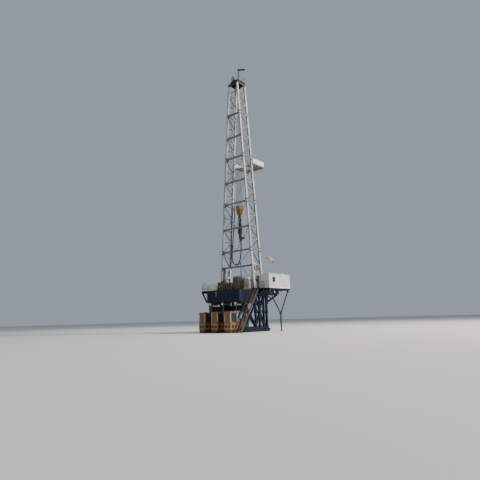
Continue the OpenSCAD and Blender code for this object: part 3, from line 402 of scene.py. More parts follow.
def sock_cloth(name, colour):
    """Thin woven cloth in bands that follow the sleeve's own length."""
    made = Finish(name, roughness=0.9, sheen_weight=0.3)
    along = made.split(made.node("ShaderNodeUVMap", {"uv_map": "sleeve"}), 1)
    band = made.node("ShaderNodeMath", {"operation": "PINGPONG"}, {0: along * 3.0 + 0.5, 1: 1.0})
    stain = made.noise(18.0, 4.0)
    white = made.mix(stain, (0.78, 0.74, 0.68), (0.62, 0.55, 0.48))
    red = made.mix(stain, tint(colour, 1.0), tint(colour, 0.7))
    made.feed(base_color=made.ramp(band, 0.46, 0.54, white, red))
    made.bump(made.noise(300.0, 2.0), 0.2, 0.0005)
    return made.material


def painted_glint_caps(name):
    """Near-white end caps, a painted highlight for the sun's glint on their metal, with a little soot."""
    made = Finish(name, roughness=0.3)
    soot = made.noise(40.0, 4.0)
    share = made.between(soot, 0.6, 0.85) * 0.4
    made.feed(base_color=made.mix(share, (0.93, 0.93, 0.92), (0.35, 0.32, 0.30)),
              roughness=0.25 + soot * 0.15)
    return made.material


def lamp_glass(name):
    """Pale lamp glass, a little hazy."""
    made = Finish(name, roughness=0.2)
    made.feed(base_color=made.mix(made.noise(60.0, 3.0), (0.85, 0.86, 0.84), (0.55, 0.56, 0.55)))
    return made.material


def mesh_panel(name, colour):
    """Dark radiator core with fine fins."""
    made = Finish(name, roughness=0.8, specular_ior_level=0.15)
    made.feed(base_color=made.ramp(made.noise(12.0, 4.0), 0.4, 0.7, colour, (0.055, 0.05, 0.048)))
    made.bump(made.wave("Z", 90.0), 0.5, 0.001)
    return made.material


def make_paints():
    """Every material of the rig, by a maker's name."""
    colour = bpy.context.scene.rig_colours
    crown, rail, hoist = tuple(colour.crown), tuple(colour.rail), tuple(colour.hoist)
    return {
        "navy": paint("navy_paint", colour.base, 0.05, 0.03, 0.42, shine=0.3),
        "mast": paint("mast_white", colour.mast, 0.45, 0.13, 0.5, 0.7),
        # The side braces nearer the well than the legs are painted dark grey as painted shade
        "side": paint("mast_side", colour.mast, 0.45, 0.13, 0.5, 0.7, beyond=crown,
                      edge=(MAST_TOP - 42) * MM, inside=BRACE_PAINTED_SHADE, half=(LEG_Y - LEG_W / 2) * MM),
        # The back girts are painted grey as painted shade on the white mast, and crown red at their top
        "girt": paint("girt_painted_shade", (0.175, 0.175, 0.19), 0.4, 0.12, 0.5, 0.7,
                      beyond=crown, edge=(MAST_TOP - 48) * MM),
        "crown": paint("crown_red", colour.crown, 0.05, 0.05, 0.6, shine=0.2),
        "cream": paint("rail_cream", colour.rail, 0.4, 0.10),
        "rail": paint("rail_paint", (0.075, 0.05, 0.032), 0.4, 0.10, beyond=rail, axis=0, edge=WELL.x + 0.07),
        "stair": tread_steel("stair_paint", colour.stair, (0.045, 0.038, 0.028)),
        "step_rail": paint("stair_rail", (0.075, 0.058, 0.033), 0.4, 0.14),
        "hoist": paint("hoist_mustard", (0.085, 0.062, 0.038), 0.4, 0.2, beyond=hoist, axis=0,
                       edge=WELL.x - 0.305),
        "frame": paint("hoist_frame", (0.10, 0.058, 0.03), 0.4, 0.25),
        "motor": paint("motor_orange", colour.motor, 0.35, 0.2, 0.45),
        "orange": paint("engine_orange", colour.engine, 0.3, 0.12, 0.45),
        "base": paint("set_yellow", (0.34, 0.19, 0.045), 0.45, 0.2),
        "block": paint("block_yellow", colour.block, 0.25, 0.08, 0.38),
        "skid": paint("skid_red", colour.skid, 0.45, 0.10),
        "grey": paint("grey_paint", (0.15, 0.15, 0.155), 0.35, 0.08, beyond=(0.075, 0.075, 0.08), axis=0,
                      edge=WELL.x - 0.225),
        "olive": paint("strut_olive", (0.012, 0.014, 0.009), 0.08, 0.04),
        "jib": paint("jib_navy", (0.013, 0.006, 0.022), 0.05, 0.04, shine=0.3),
        "pipe": greased_steel("pipe_steel", (0.045, 0.05, 0.065), 0.6),
        "board": paint("board_white", (0.74, 0.74, 0.71), 0.2, 0.05),
        "brown": paint("board_brown", (0.25, 0.19, 0.18), 0.3, 0.03),
        "house": ribbed_sheet("house_sheet", colour.house),
        "deck": deck_plate("deck_plate", (0.03, 0.036, 0.06), colour.base),
        "steel": greased_steel("greased_steel", (0.16, 0.155, 0.15)),
        "pin": greased_steel("pin_steel", (0.045, 0.04, 0.04), 0.5),
        "silver": heat_silver("heat_silver"),
        "muffler": paint("muffler_grey", (0.24, 0.205, 0.19), 0.2, 0.2),
        # Near-white muffler caps: a painted highlight
        "bright": painted_glint_caps("painted_glint_caps"),
        "hose": hose_rubber("hose_cover"),
        "rope": wire_rope("wire_rope"),
        "glass": dark_glass("window_glass"),
        "sock": sock_cloth("sock_cloth", colour.sock),
        "lamp": lamp_glass("lamp_glass"),
        "core": mesh_panel("radiator_core", (0.028, 0.026, 0.032)),
        "post": paint("post_cream", (0.52, 0.42, 0.33), 0.3, 0.08),
        "bronze": paint("hook_brown", (0.055, 0.036, 0.022), 0.3, 0.12, shine=0.3),
        "white": paint("bare_white", (0.74, 0.73, 0.70), 0.25, 0.05),
        "black": paint("dull_black", (0.012, 0.012, 0.015), 0.2, 0.05),
    }


NODE_PAINT = {
    "navy": ["base_skids", "side_frames", "cross_frames", "floor_knees", "rear_platform", "doghouse_floor",
             "stair_landing"],
    "deck": ["drill_floor"],
    "mast": ["mast_shoes", "a_frames"],
    # The mast's sides carry the braces' painted shade
    "side": ["mast_side_left", "mast_side_right"],
    # The back bracing takes the girts' grey, a painted shade
    "girt": ["mast_back_bracing"],
    "crown": ["crown_frame"],
    "jib": ["gin_pole", "crown_sheaves"],
    "pipe": ["standpipe"],
    "steel": ["rotary_table", "drill_pipe", "drawworks_drum", "swivel"],
    "hoist": ["drawworks_gearcase"],
    "frame": ["drawworks_frame"],
    "stair": ["stair"],
    "grey": ["drawworks_cover", "lamp_post"],
    "motor": ["drawworks_motors"],
    "orange": ["engines", "radiators"],
    "brown": ["monkey_board"],
    "board": ["monkey_wind_walls"],
    "silver": ["windsock_pole", "windsock_ring"],
    "muffler": ["mufflers"],
    "rope": ["fast_line"],
    "block": ["travelling_block", "block_sheaves"],
    "bronze": ["hook"],
    "house": ["doghouse_walls", "doghouse_roof", "doghouse_door"],
    "glass": ["doghouse_glass"],
    "olive": ["doghouse_struts"],
    "rail": ["handrails"],
    "skid": ["engine_skids"],
}
PAINTS = {}


class Piece:
    """One mesh, built up in edit mode from bars, plates and rods in millimetres from the well."""

    def __init__(self, name):
        bpy.ops.object.select_all(action="DESELECT")
        bpy.ops.object.add(type="MESH", location=(0, 0, 0))
        self.thing = bpy.context.object
        self.thing.name = name
        self.thing.data.name = name
        bpy.ops.object.mode_set(mode="EDIT")

    def block(self, low, high):
        """Upright block between two corners."""
        low, high = at(*low), at(*high)
        bpy.ops.mesh.primitive_cube_add(size=1, location=(low + high) / 2, scale=high - low)

    def bar(self, start, end, width, depth):
        """Square bar from start to end, with depth its horizontal width across."""
        start, end = at(*start), at(*end)
        way = end - start
        turn = (math.acos(max(-1, min(1, way.z / way.length))), math.atan2(way.y, way.x))
        bpy.ops.mesh.primitive_cube_add(size=1, location=(start + end) / 2, rotation=(0, turn[0], turn[1]),
                                        scale=(width * MM, depth * MM, way.length))

    def rod(self, start, end, width, sides=10, end_width=None):
        """Round bar from start to end, or a taper where end_width differs."""
        start, end = at(*start), at(*end)
        way = end - start
        wide, narrow = width / 2 * MM, (width if end_width is None else end_width) / 2 * MM
        bpy.ops.mesh.primitive_cone_add(
            vertices=sides, radius1=wide, radius2=narrow, depth=way.length, location=(start + end) / 2,
            rotation=(0, math.acos(max(-1, min(1, way.z / way.length))), math.atan2(way.y, way.x)))

    def disc(self, axis, start, length, width, sides=10, end_width=None):
        """Round bar or disc with a length along x, y or z."""
        end = list(start)
        end["xyz".index(axis)] += length
        self.rod(start, end, width, sides, end_width)

    def ball(self, centre, width):
        bpy.ops.mesh.primitive_uv_sphere_add(segments=12, ring_count=8, radius=width / 2 * MM,
                                             location=at(*centre))

    def finish(self, paint_name, slot, bevel=0.0, body="rig"):
        """Leaves edit mode, rounds the edges, and sets the paint and the body that it rides on."""
        bpy.ops.object.mode_set(mode="OBJECT")
        if bevel:
            bpy.ops.object.modifier_add(type="BEVEL")
            edge = self.thing.modifiers[-1]
            edge.width = bevel * MM
            edge.segments = 1
            edge.limit_method = "ANGLE"
            bpy.ops.object.modifier_apply(modifier=edge.name)
        bpy.ops.object.shade_smooth_by_angle(angle=math.radians(35))
        self.thing.data.materials.append(PAINTS[paint_name])
        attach(self.thing, body)


def rail_run(piece, start, end, height, thick, pitch=110):
    """Rail with its knee rail and its posts, along one edge of a deck."""
    start, end, top = Vector(start), Vector(end), Vector((0, 0, height))
    count = max(1, math.ceil((end - start).length / pitch))
    for share in (0.5, 1.0):
        piece.rod(start + top * share, end + top * share, thick)
    for index in range(count + 1):
        foot = start + (end - start) * (index / count)
        piece.rod(foot, foot + top, thick)


class RIG_OT_paint(Operator):
    """Gives every node of the frame its paint"""

    bl_idname = "rig.paint"
    bl_label = "Paint the frame"

    def execute(self, context):
        PAINTS.update(make_paints())
        for name, nodes in NODE_PAINT.items():
            for node in nodes:
                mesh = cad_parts[node].data
                mesh.materials.clear()
                mesh.materials.append(PAINTS[name])
        return {"FINISHED"}


# Camera at the photograph's viewing angle, worked out from the mast and the doghouse
CAMERA_PLACE = (-5304.1, 6055.5, 218.3)
CAMERA_YAW = -49.157
CAMERA_PITCH = 13.479
CAMERA_ROLL = -1.462
CAMERA_LENS = 31.97
CAMERA_SHIFT = (-0.0052, -0.0479)


def add_camera():
    """Sets up the camera from its place, its three angles and its lens."""
    yaw, pitch, roll = (math.radians(a) for a in (CAMERA_YAW, CAMERA_PITCH, CAMERA_ROLL))
    ahead = Vector((math.cos(pitch) * math.cos(yaw), math.cos(pitch) * math.sin(yaw), math.sin(pitch)))
    level = Vector((math.sin(yaw), -math.cos(yaw), 0))
    above = level.cross(ahead)
    right = level * math.cos(roll) + above * math.sin(roll)
    up = above * math.cos(roll) - level * math.sin(roll)
    bpy.ops.object.camera_add()
    camera = bpy.context.object
    turn = Matrix((right, up, -ahead)).transposed().to_4x4()
    camera.matrix_world = Matrix.Translation(at(*CAMERA_PLACE)) @ turn
    camera.data.lens = CAMERA_LENS
    camera.data.sensor_width = 36
    camera.data.shift_x, camera.data.shift_y = CAMERA_SHIFT
    camera.data.clip_end = 200
    bpy.context.scene.camera = camera


def add_light(name, place, target, size, energy, colour):
    """Adds a square lamp that points at the target."""
    bpy.ops.object.light_add(type="AREA", location=place)
    light = bpy.context.object
    light.name = name
    light.data.size = size
    light.data.energy = energy
    light.data.color = colour
    light.rotation_euler = (Vector(target) - Vector(place)).to_track_quat("-Z", "Y").to_euler()


class RIG_OT_stage(Operator):
    """Sets up the pale floor, the studio light and the camera"""

    bl_idname = "rig.stage"
    bl_label = "Stage"

    def execute(self, context):
        add_camera()
        bpy.ops.mesh.primitive_plane_add(size=160, location=(0, 0, 0))
        floor = bpy.context.object
        floor.name = "studio_floor"
        pale = Finish("studio_floor", roughness=0.9)
        pale.feed(base_color=pale.mix(pale.noise(0.4, 2.0), (0.60, 0.58, 0.55), (0.64, 0.62, 0.59)))
        floor.data.materials.append(pale.material)
        middle = (0, 0, 2.2)
        add_light("key_light", (-10.0, -4.5, 9.0), middle, 3.0, 3100, (1.0, 0.965, 0.91))
        add_light("fill_light", (-2.5, 11.0, 3.0), middle, 1.2, 60, (0.80, 0.90, 1.0))
        add_light("rim_light", (8.0, -4.0, 7.0), middle, 5.0, 250, (0.95, 0.97, 1.0))
        world = context.scene.world or bpy.data.worlds.new("studio")
        context.scene.world = world
        world.use_nodes = True
        sky = world.node_tree.nodes["Background"]
        sky.inputs["Color"].default_value = (0.74, 0.85, 1.0, 1)
        sky.inputs["Strength"].default_value = 0.42
        return {"FINISHED"}


# The swivel's goose neck, where the hose ends
NECK_X, NECK_Y = 40 * math.cos(math.radians(-70)), 40 * math.sin(math.radians(-70))

# The rotary hose's route in millimetres from the well, from the standpipe's outlet to the swivel
HOSE_ROUTE = [
    (226, -100, 2380), (228, -100, 2300), (234, -98, 2180), (246, -94, 2000), (262, -88, 1800),
    (278, -80, 1600), (284, -74, 1450), (270, -66, 1340), (226, -58, 1268), (160, -50, 1240),
    (94, -44, 1266), (46, -40, 1350), (22, -36, 1460), (14, -34, 1580), (NECK_X, NECK_Y, 1680),
    (NECK_X, NECK_Y, 1740),
]
HOSE_STEPS = 6


def smooth_route(points, steps):
    """Points along the smooth curve through a route's own points."""
    points = [Vector(p) for p in points]
    found = []
    for index in range(len(points) - 1):
        a, b = points[max(index - 1, 0)], points[index]
        c, d = points[index + 1], points[min(index + 2, len(points) - 1)]
        for step in range(steps):
            t = step / steps
            found.append(0.5 * (2 * b + t * (c - a) + t * t * (2 * a - 5 * b + 4 * c - d)
                                + t * t * t * (3 * b - a - 3 * c + d)))
    return found + [points[-1]]


class RIG_OT_hose(Operator):
    """Hangs the rotary hose between the standpipe and the swivel"""

    bl_idname = "rig.hose"
    bl_label = "Rotary hose"

    def execute(self, context):
        width = context.scene.rig_sizes.hose_d
        path = [at(*p) for p in smooth_route(HOSE_ROUTE, HOSE_STEPS)]
        bpy.ops.object.select_all(action="DESELECT")
        bpy.ops.curve.primitive_nurbs_path_add(location=(0, 0, 0))
        hose = bpy.context.object
        hose.name = "hose"
        hose.data.splines.clear()
        line = hose.data.splines.new("POLY")
        line.points.add(len(path) - 1)
        for point, place in zip(line.points, path):
            point.co = (*place, 1)
        hose.data.bevel_depth = width / 2
        hose.data.bevel_resolution = 3
        hose.data.use_fill_caps = True
        bpy.ops.object.convert(target="MESH")
        hose = bpy.context.object
        bpy.ops.object.shade_smooth()
        hose.data.materials.clear()
        hose.data.materials.append(PAINTS["hose"])
        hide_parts("rotary_hose")
        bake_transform(hose)
        return {"FINISHED"}


class RIG_OT_falls(Operator):
    """Reeves the falls of wire rope between the crown and the block"""

    bl_idname = "rig.falls"
    bl_label = "Falls of rope"

    def execute(self, context):
        low, high = reach("drilling_lines")
        width = context.scene.rig_sizes.rope_d / MM
        count = 4
        piece = Piece("falls")
        for index in range(count):
            x = low.x + width / 2 + (high.x - low.x - width) * index / (count - 1)
            for y in (low.y + width / 2, high.y - width / 2):
                piece.rod((x, y, low.z), (x, y, high.z), width, 8)
        bpy.ops.object.mode_set(mode="OBJECT")
        falls = piece.thing
        falls.data.materials.append(PAINTS["rope"])
        bpy.ops.object.shade_smooth_by_angle(angle=math.radians(60))
        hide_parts("drilling_lines")
        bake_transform(falls)
        return {"FINISHED"}


# The windsock's sleeve: its angles, then its sizes in millimetres
SOCK_TURN = math.radians(250)
SOCK_RISE = math.radians(-14)
SOCK_FALL = math.radians(78)
SOCK_HOOP_D = 46.0
SOCK_TAIL_D = 26.0
SOCK_LENGTH = 165.0
SOCK_REACH = 32.0
SOCK_Z = 1290.0


def sock_droop(along):
    """How far the sleeve points below level, from its hoop to its tail."""
    return SOCK_RISE + (SOCK_FALL - SOCK_RISE) * along ** 0.8


def sock_middle(across, along, steps=24):
    """Middle line of the sleeve, followed from the hoop at its own length."""
    spot = Vector((0, 0, 0))
    for step in range(steps):
        droop = sock_droop(along * (step + 0.5) / steps)
        spot += (across * math.cos(droop) - Vector((0, 0, math.sin(droop)))) * SOCK_LENGTH * along / steps
    return spot


class RIG_OT_windsock(Operator):
    """Sews the windsock's cloth sleeve and hangs it from its hoop"""

    bl_idname = "rig.windsock"
    bl_label = "Windsock"

    def execute(self, context):
        pole_low, pole_high = reach("windsock_pole")
        pole = Vector(((pole_low.x + pole_high.x) / 2, (pole_low.y + pole_high.y) / 2, SOCK_Z))
        rings, sides = 40, 56
        folds = context.scene.rig_sizes.sock_folds
        bpy.ops.object.select_all(action="DESELECT")
        bpy.ops.mesh.primitive_grid_add(x_subdivisions=sides, y_subdivisions=rings, size=1)
        sock = bpy.context.object
        sock.name = "sock"
        grid = sock.data
        sewn = grid.uv_layers.new(name="sleeve")
        for loop in grid.loops:
            place = grid.vertices[loop.vertex_index].co
            sewn.data[loop.index].uv = (place.x + 0.5, place.y + 0.5)
        across = Vector((math.cos(SOCK_TURN), math.sin(SOCK_TURN), 0))
        side = Vector((-math.sin(SOCK_TURN), math.cos(SOCK_TURN), 0))
        for point in grid.vertices:
            around, along = (point.co.x + 0.5) * 2 * math.pi, point.co.y + 0.5
            slack = along ** 1.5
            radius = (SOCK_HOOP_D + (SOCK_TAIL_D - SOCK_HOOP_D) * along) / 2
            radius *= 1 - 0.10 * slack + 0.11 * slack * math.sin(folds * around + 5 * along)
            droop = sock_droop(along)
            above = across * math.sin(droop) + Vector((0, 0, math.cos(droop)))
            spot = (pole + across * SOCK_REACH + sock_middle(across, along)
                    + side * radius * math.cos(around) * (1 + 0.06 * slack)
                    + above * radius * math.sin(around) * (1 - 0.16 * slack))
            point.co = at(*spot)
        bpy.ops.object.mode_set(mode="EDIT")
        bpy.ops.mesh.select_all(action="SELECT")
        bpy.ops.mesh.remove_doubles(threshold=0.0002)
        bpy.ops.mesh.normals_make_consistent(inside=False)
        bpy.ops.object.mode_set(mode="OBJECT")
        bpy.ops.object.modifier_add(type="SOLIDIFY")
        sock.modifiers[-1].thickness = 0.0008
        bpy.ops.object.modifier_apply(modifier=sock.modifiers[-1].name)
        bpy.ops.object.shade_smooth()
        grid.materials.append(PAINTS["sock"])
        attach(sock, "windsock")
        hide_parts("windsock_sleeve")
        return {"FINISHED"}


class RIG_OT_mast_joints(Operator):
    """Adds the lugs and pins of the mast's splices, and the plates and bolts at the ends of its girts"""

    bl_idname = "rig.mast_joints"
    bl_label = "Mast joints"

    def execute(self, context):
        sizes = context.scene.rig_sizes
        pin_d, bolt_d = sizes.pin_d / MM, sizes.bolt_d / MM
        joints = list(product(SPLICES, SIDES, (-LEG_Y, LEG_Y)))
        lugs = Piece("splice_lugs")
        for z, sx, y in joints:
            lugs.bar(leg_at(sx, y, z - 46), leg_at(sx, y, z + 46), 40, LEG_W + 7)
            lugs.bar(leg_at(sx, y, z - 3), leg_at(sx, y, z + 3), 46, LEG_W + 12)
        lugs.finish("mast", "white_paint", 2)
        pins = Piece("splice_pins")
        half = LEG_W / 2 + 9
        for (splice, sx, y), lift in product(joints, (-30, 30)):
            x, y, z = leg_at(sx, y, splice + lift)
            pins.disc("y", (x, y - half, z), half * 2, pin_d, 12)
            pins.disc("y", (x, y - half - 3, z), half * 2 + 6, pin_d * 0.55, 8)
            pins.disc("x", (x - half, y, z), half * 2, pin_d * 1.35, 16)
        pins.finish("black", "steel", 1)
        # The girt plates take the girts' grey, a painted shade
        plates = Piece("girt_plates")
        for z, sx, y in product(GIRTS, SIDES, (LEG_Y + 15, LEG_Y - 19)):
            edge = sx * (leg_x(z) - LEG_W / 2)
            plates.block((edge - 38, y, z - 22), (edge + 8, y + 4, z + 22))
        plates.finish("girt", "white_paint", 1)
        bolts = Piece("girt_bolts")
        for z, sx, inward, lift in product(GIRTS, SIDES, (10, 26), (-10, 10)):
            x = sx * (leg_x(z) - LEG_W / 2 - inward)
            bolts.disc("y", (x, LEG_Y + 18, z + lift), 4, bolt_d, 6)
        bolts.finish("pin", "steel")
        return {"FINISHED"}


class RIG_OT_mast_plates(Operator):
    """Adds the gusset plates of the mast's sides, and the boots and pins of its feet"""

    bl_idname = "rig.mast_plates"
    bl_label = "Mast plates"

    def execute(self, context):
        stops = [22.0, *[z - FLOOR for z in GIRTS], MAST_H]
        levels = []
        for low, high in zip(stops, stops[1:]):
            count = max(1, round((high - low) / PANEL_H))
            levels += [FLOOR + low + (high - low) * k / count for k in range(count)]
        plates = Piece("side_gussets")
        for z, sx, sy in product(levels[1:], SIDES, SIDES):
            y = sy * (LEG_Y - LEG_W / 2 - 12)
            plates.bar(leg_at(sx, y, z - 26), leg_at(sx, y, z + 26), 3.5, 30)
            foot, head = ((sx * (leg_x(h) + LEG_W / 2), sy * LEG_Y, h) for h in (z - 14, z + 14))
            plates.bar(foot, head, 3, 26)
        plates.finish("mast", "white_paint", 0.8)
        feet = [(sx * leg_x(FLOOR), sy * LEG_Y) for sx, sy in product(SIDES, SIDES)]
        boots = Piece("mast_boots")
        for x, y in feet:
            for side in (y - 21, y + 18):
                boots.block((x - 22, side, FLOOR + 22), (x + 22, side + 3, FLOOR + 64))
            boots.block((x - 22, y - 24, FLOOR + 22), (x + 22, y + 24, FLOOR + 27))
        boots.finish("mast", "white_paint", 1)
        pins = Piece("boot_pins")
        for x, y in feet:
            pins.disc("y", (x, y - 26, FLOOR + 46), 52, 18, 12)
        pins.finish("pin", "steel", 1)
        return {"FINISHED"}


# Lowest and highest edge of the small boxes beside the rear legs
FOOT_BOX = (1018.0, 1219.0)

# Width of a box frame's bars, and how much of its foot's depth its head has
BOX_FRAME_W = 34
HEAD_SHARE = 150 / 216


class RIG_OT_a_frames(Operator):
    """Adds the flanges and the pockets of the two box frames, the pockets painted near-black as shade, and
    the boxes beside the rear legs
    """

    bl_idname = "rig.a_frames"
    bl_label = "Box frames"

    def execute(self, context):
        low, high = reach("a_frames")
        frames = [(low.x, low.x + BOX_FRAME_W), (high.x - BOX_FRAME_W, high.x)]
        ribs = Piece("box_frame_flanges")
        for outer, inner in frames:
            for sy, x in product(SIDES, (outer - 1.5, inner + 1.5)):
                ribs.bar((x, sy * (high.y - 3), FLOOR), (x, sy * (high.y * HEAD_SHARE - 3), high.z), 5, 3)
            ribs.block((outer - 1.5, -high.y * 0.69, high.z - 6), (inner + 1.5, high.y * 0.69, high.z + 3))
        ribs.finish("mast", "white_paint", 0.8)
        foot, head = FOOT_BOX
        boxes = Piece("foot_boxes")
        for sx in SIDES:
            for low_z, high_z in ((foot, foot + 58), (head - 36, head)):
                x = sx * leg_x((low_z + high_z) / 2)
                boxes.block((x - 14, 30, low_z), (x + 14, LEG_Y, high_z))
            boxes.bar(leg_at(sx, 46, foot), leg_at(sx, 46, head), 26, 32)
        boxes.finish("mast", "white_paint", 1.5)
        # The slots beside the boxes are near-black bars as painted shade
        slots = Piece("foot_slot_shade")
        for sx in SIDES:
            slots.bar((sx * leg_x(foot), 80, foot + 30), (sx * leg_x(head), 80, head - 20), 8, 60)
        slots.finish("olive", "steel")
        # The pockets are near-black blocks as painted shade
        pockets = Piece("box_frame_pocket_shade")
        across = (high.y * 0.40, -high.y * 0.40 - 15)
        for (outer, inner), z, y in product(frames, (high.z - 210, high.z - 300), across):
            pockets.block((outer - 2, y, z - 16), (inner + 2, y + 15, z + 16))
        pockets.finish("olive", "steel", 0.8)
        return {"FINISHED"}


class RIG_OT_crown(Operator):
    """Adds the crown's rails, deck, ribs and bolts"""

    bl_idname = "rig.crown"
    bl_label = "Crown details"

    def execute(self, context):
        low, high = reach("crown_frame")
        top = MAST_TOP + 72
        thick = context.scene.rig_sizes.rail_d / MM * 0.6
        rails = Piece("crown_rails")
        west, east, south = low.x + 3, high.x - 3, low.y + 3
        rail_run(rails, (west, 40, top), (west, south, top), 105, thick, 46)
        rail_run(rails, (west, south, top), (east, south, top), 105, thick, 52)
        rail_run(rails, (east, south, top), (east, 30, top), 105, thick, 60)
        rails.finish("grey", "grey_paint")
        deck = Piece("crown_deck")
        for x in (-85, 85):
            deck.block((x - 17, low.y + 4, top), (x + 17, 76, top + 3))
        deck.block((low.x + 4, low.y + 4, top), (high.x - 4, low.y + 44, top + 3))
        deck.finish("crown", "maroon_paint", 0.8)
        ribs = Piece("crown_ribs")
        for y, x in product(range(-140, 80, 44), (low.x - 2, high.x - 2)):
            ribs.block((x, y, MAST_TOP + 4), (x + 4, y + 4, top - 4))
        for z in (MAST_TOP + 2, top - 6):
            for x in (low.x - 4, high.x - 2):
                ribs.block((x, low.y + 2, z), (x + 6, 78, z + 4))
            ribs.block((low.x, 76, z), (-12, 83, z + 4))
            ribs.block((12, 76, z), (high.x, 83, z + 4))
        ribs.finish("crown", "maroon_paint", 0.8)
        bolts = Piece("crown_bolts")
        rows = (MAST_TOP + 14, MAST_TOP + 58)
        for x, z in product((-90, -70, -50, -30, 30, 50, 70, 90), rows):
            bolts.disc("y", (x, 79, z), 5, 6, 6)
        for y, z in product(range(-130, 70, 22), rows):
            bolts.disc("x", (low.x - 4, y, z), 5, 6, 6)
        bolts.finish("pin", "steel")
        return {"FINISHED"}


class RIG_OT_board(Operator):
    """Adds the ribs, frames, finger tips, rails and hangers of the monkey board"""

    bl_idname = "rig.board"
    bl_label = "Monkey board details"

    def execute(self, context):
        low, high = reach("monkey_board")
        foot, brow = (corner.z for corner in reach("monkey_wind_walls"))
        ribs = Piece("board_ribs")
        for x in range(int(low.x) + 20, int(high.x), 52):
            ribs.block((x, low.y - 3, foot + 2), (x + 6, low.y + 2, brow - 2))
        for y, x in product(range(int(low.y) + 30, int(high.y) - 10, 52), (low.x - 3, high.x - 2)):
            ribs.block((x, y, foot + 2), (x + 5, y + 6, brow - 2))
        for z in (foot, brow - 5):
            ribs.block((low.x - 3, low.y - 3, z), (high.x + 3, low.y + 6, z + 5))
            for x in (low.x - 3, high.x - 4):
                ribs.block((x, low.y - 3, z), (x + 7, high.y - 1, z + 5))
        ribs.finish("board", "white_paint", 0.8)
        under = Piece("board_frames")
        for x in range(int(low.x) + 12, int(high.x), 40):
            if abs(x + 30) > 130:
                under.block((x, low.y + 4, low.z - 9), (x + 6, high.y - 2, low.z))
        for y in range(int(low.y) + 6, int(low.y) + 84, 24):
            under.block((low.x + 4, y, low.z - 7), (high.x - 4, y + 5, low.z))
        for y in (low.y + 1, high.y - 9):
            under.block((low.x + 2, y, low.z - 12), (high.x - 2, y + 7, low.z))
        under.finish("brown", "brown_deck", 0.8)
        tips = Piece("finger_tips")
        for index, sx in product(range(1, 6), SIDES):
            y = low.y + 76 + index * 46
            tips.disc("x", (sx * 60, y + 4, high.z - 9), -sx * 6, 9, 10, 5)
            tips.block((sx * 62 - 3, y - 1, high.z), (sx * 62 + 3, y + 9, high.z + 7))
        tips.finish("hoist", "yellow_paint", 0.6)
        rails = Piece("board_rails")
        thick = context.scene.rig_sizes.rail_d / MM
        for x in (low.x + 80, high.x - 80):
            rail_run(rails, (x, high.y - 8, high.z), (x, low.y + 90, high.z), 95, thick * 0.8, 62)
        rails.finish("cream", "cream_paint")
        hangers = Piece("board_hangers")
        z, face = low.z + 330, -LEG_Y - LEG_W / 2
        for sx in SIDES:
            x = sx * leg_x(z)
            hangers.bar((x, face + 2, z), (sx * 190, low.y + 40, brow - 4), 7, 7)
            hangers.block((x - 9, face - 4, z - 16), (x + 9, face + 1, z + 16))
        hangers.finish("mast", "white_paint", 0.6)
        return {"FINISHED"}


class RIG_OT_rails(Operator):
    """Adds the rails of the floor, landing and stair, the platform rail's boards and the kick plates"""

    bl_idname = "rig.rails"
    bl_label = "Rails"

    def execute(self, context):
        sizes = context.scene.rig_sizes
        thick, height = sizes.rail_d / MM, sizes.rail_h / MM
        low, high = reach("drill_floor")
        rails = Piece("floor_rails")
        edge = 5
        east, south = high.x - edge, low.y + edge
        rail_run(rails, (east, -150, FLOOR), (east, south, FLOOR), height, thick, 90)
        rail_run(rails, (east, south, FLOOR), (low.x + edge, south, FLOOR), height, thick, 90)
        rails.finish("rail", "cream_paint")
        steps_low, steps_high = reach("stair")
        gate_low, gate_high = reach("stair_landing")
        landing = Piece("landing_rails")
        x = gate_low.x + edge
        rail_run(landing, (x, gate_low.y + 4, FLOOR), (x, gate_high.y - 2, FLOOR), height, thick, 60)
        up = Vector((0, 0, height * 0.95))
        for x in (steps_low.x + 3, steps_high.x - 3):
            top, foot = Vector((x, gate_high.y + 4, FLOOR)), Vector((x, steps_high.y - 6, 8))
            landing.rod(top + up, foot + up, thick)
            landing.rod(top + up / 2, foot + up / 2, thick)
            for index in range(9):
                spot = top.lerp(foot, index / 8)
                landing.rod(spot, spot + up, thick)
        landing.finish("step_rail", "yellow_paint")
        deck_low, deck_high = reach("rear_platform")
        boards = Piece("rail_boards")
        for index in range(9):
            x = deck_high.x - 36 - index * 43
            boards.block((x, deck_high.y - 12, DECK + 14), (x + 24, deck_high.y - 9.5, DECK + 112))
        boards.finish("cream", "cream_paint", 0.5)
        kick = Piece("kick_plates")
        kick.block((low.x + 1, low.y + 1, FLOOR), (high.x - 1, low.y + 3, FLOOR + 14))
        kick.block((high.x - 3, low.y + 1, FLOOR), (high.x - 1, -140, FLOOR + 14))
        kick.block((deck_low.x + 1, deck_high.y - 3, DECK), (deck_high.x - 1, deck_high.y - 1, DECK + 12))
        kick.block((deck_high.x - 3, 170, DECK), (deck_high.x - 1, deck_high.y - 1, DECK + 12))
        kick.finish("navy", "navy_paint", 0.5)
        return {"FINISHED"}


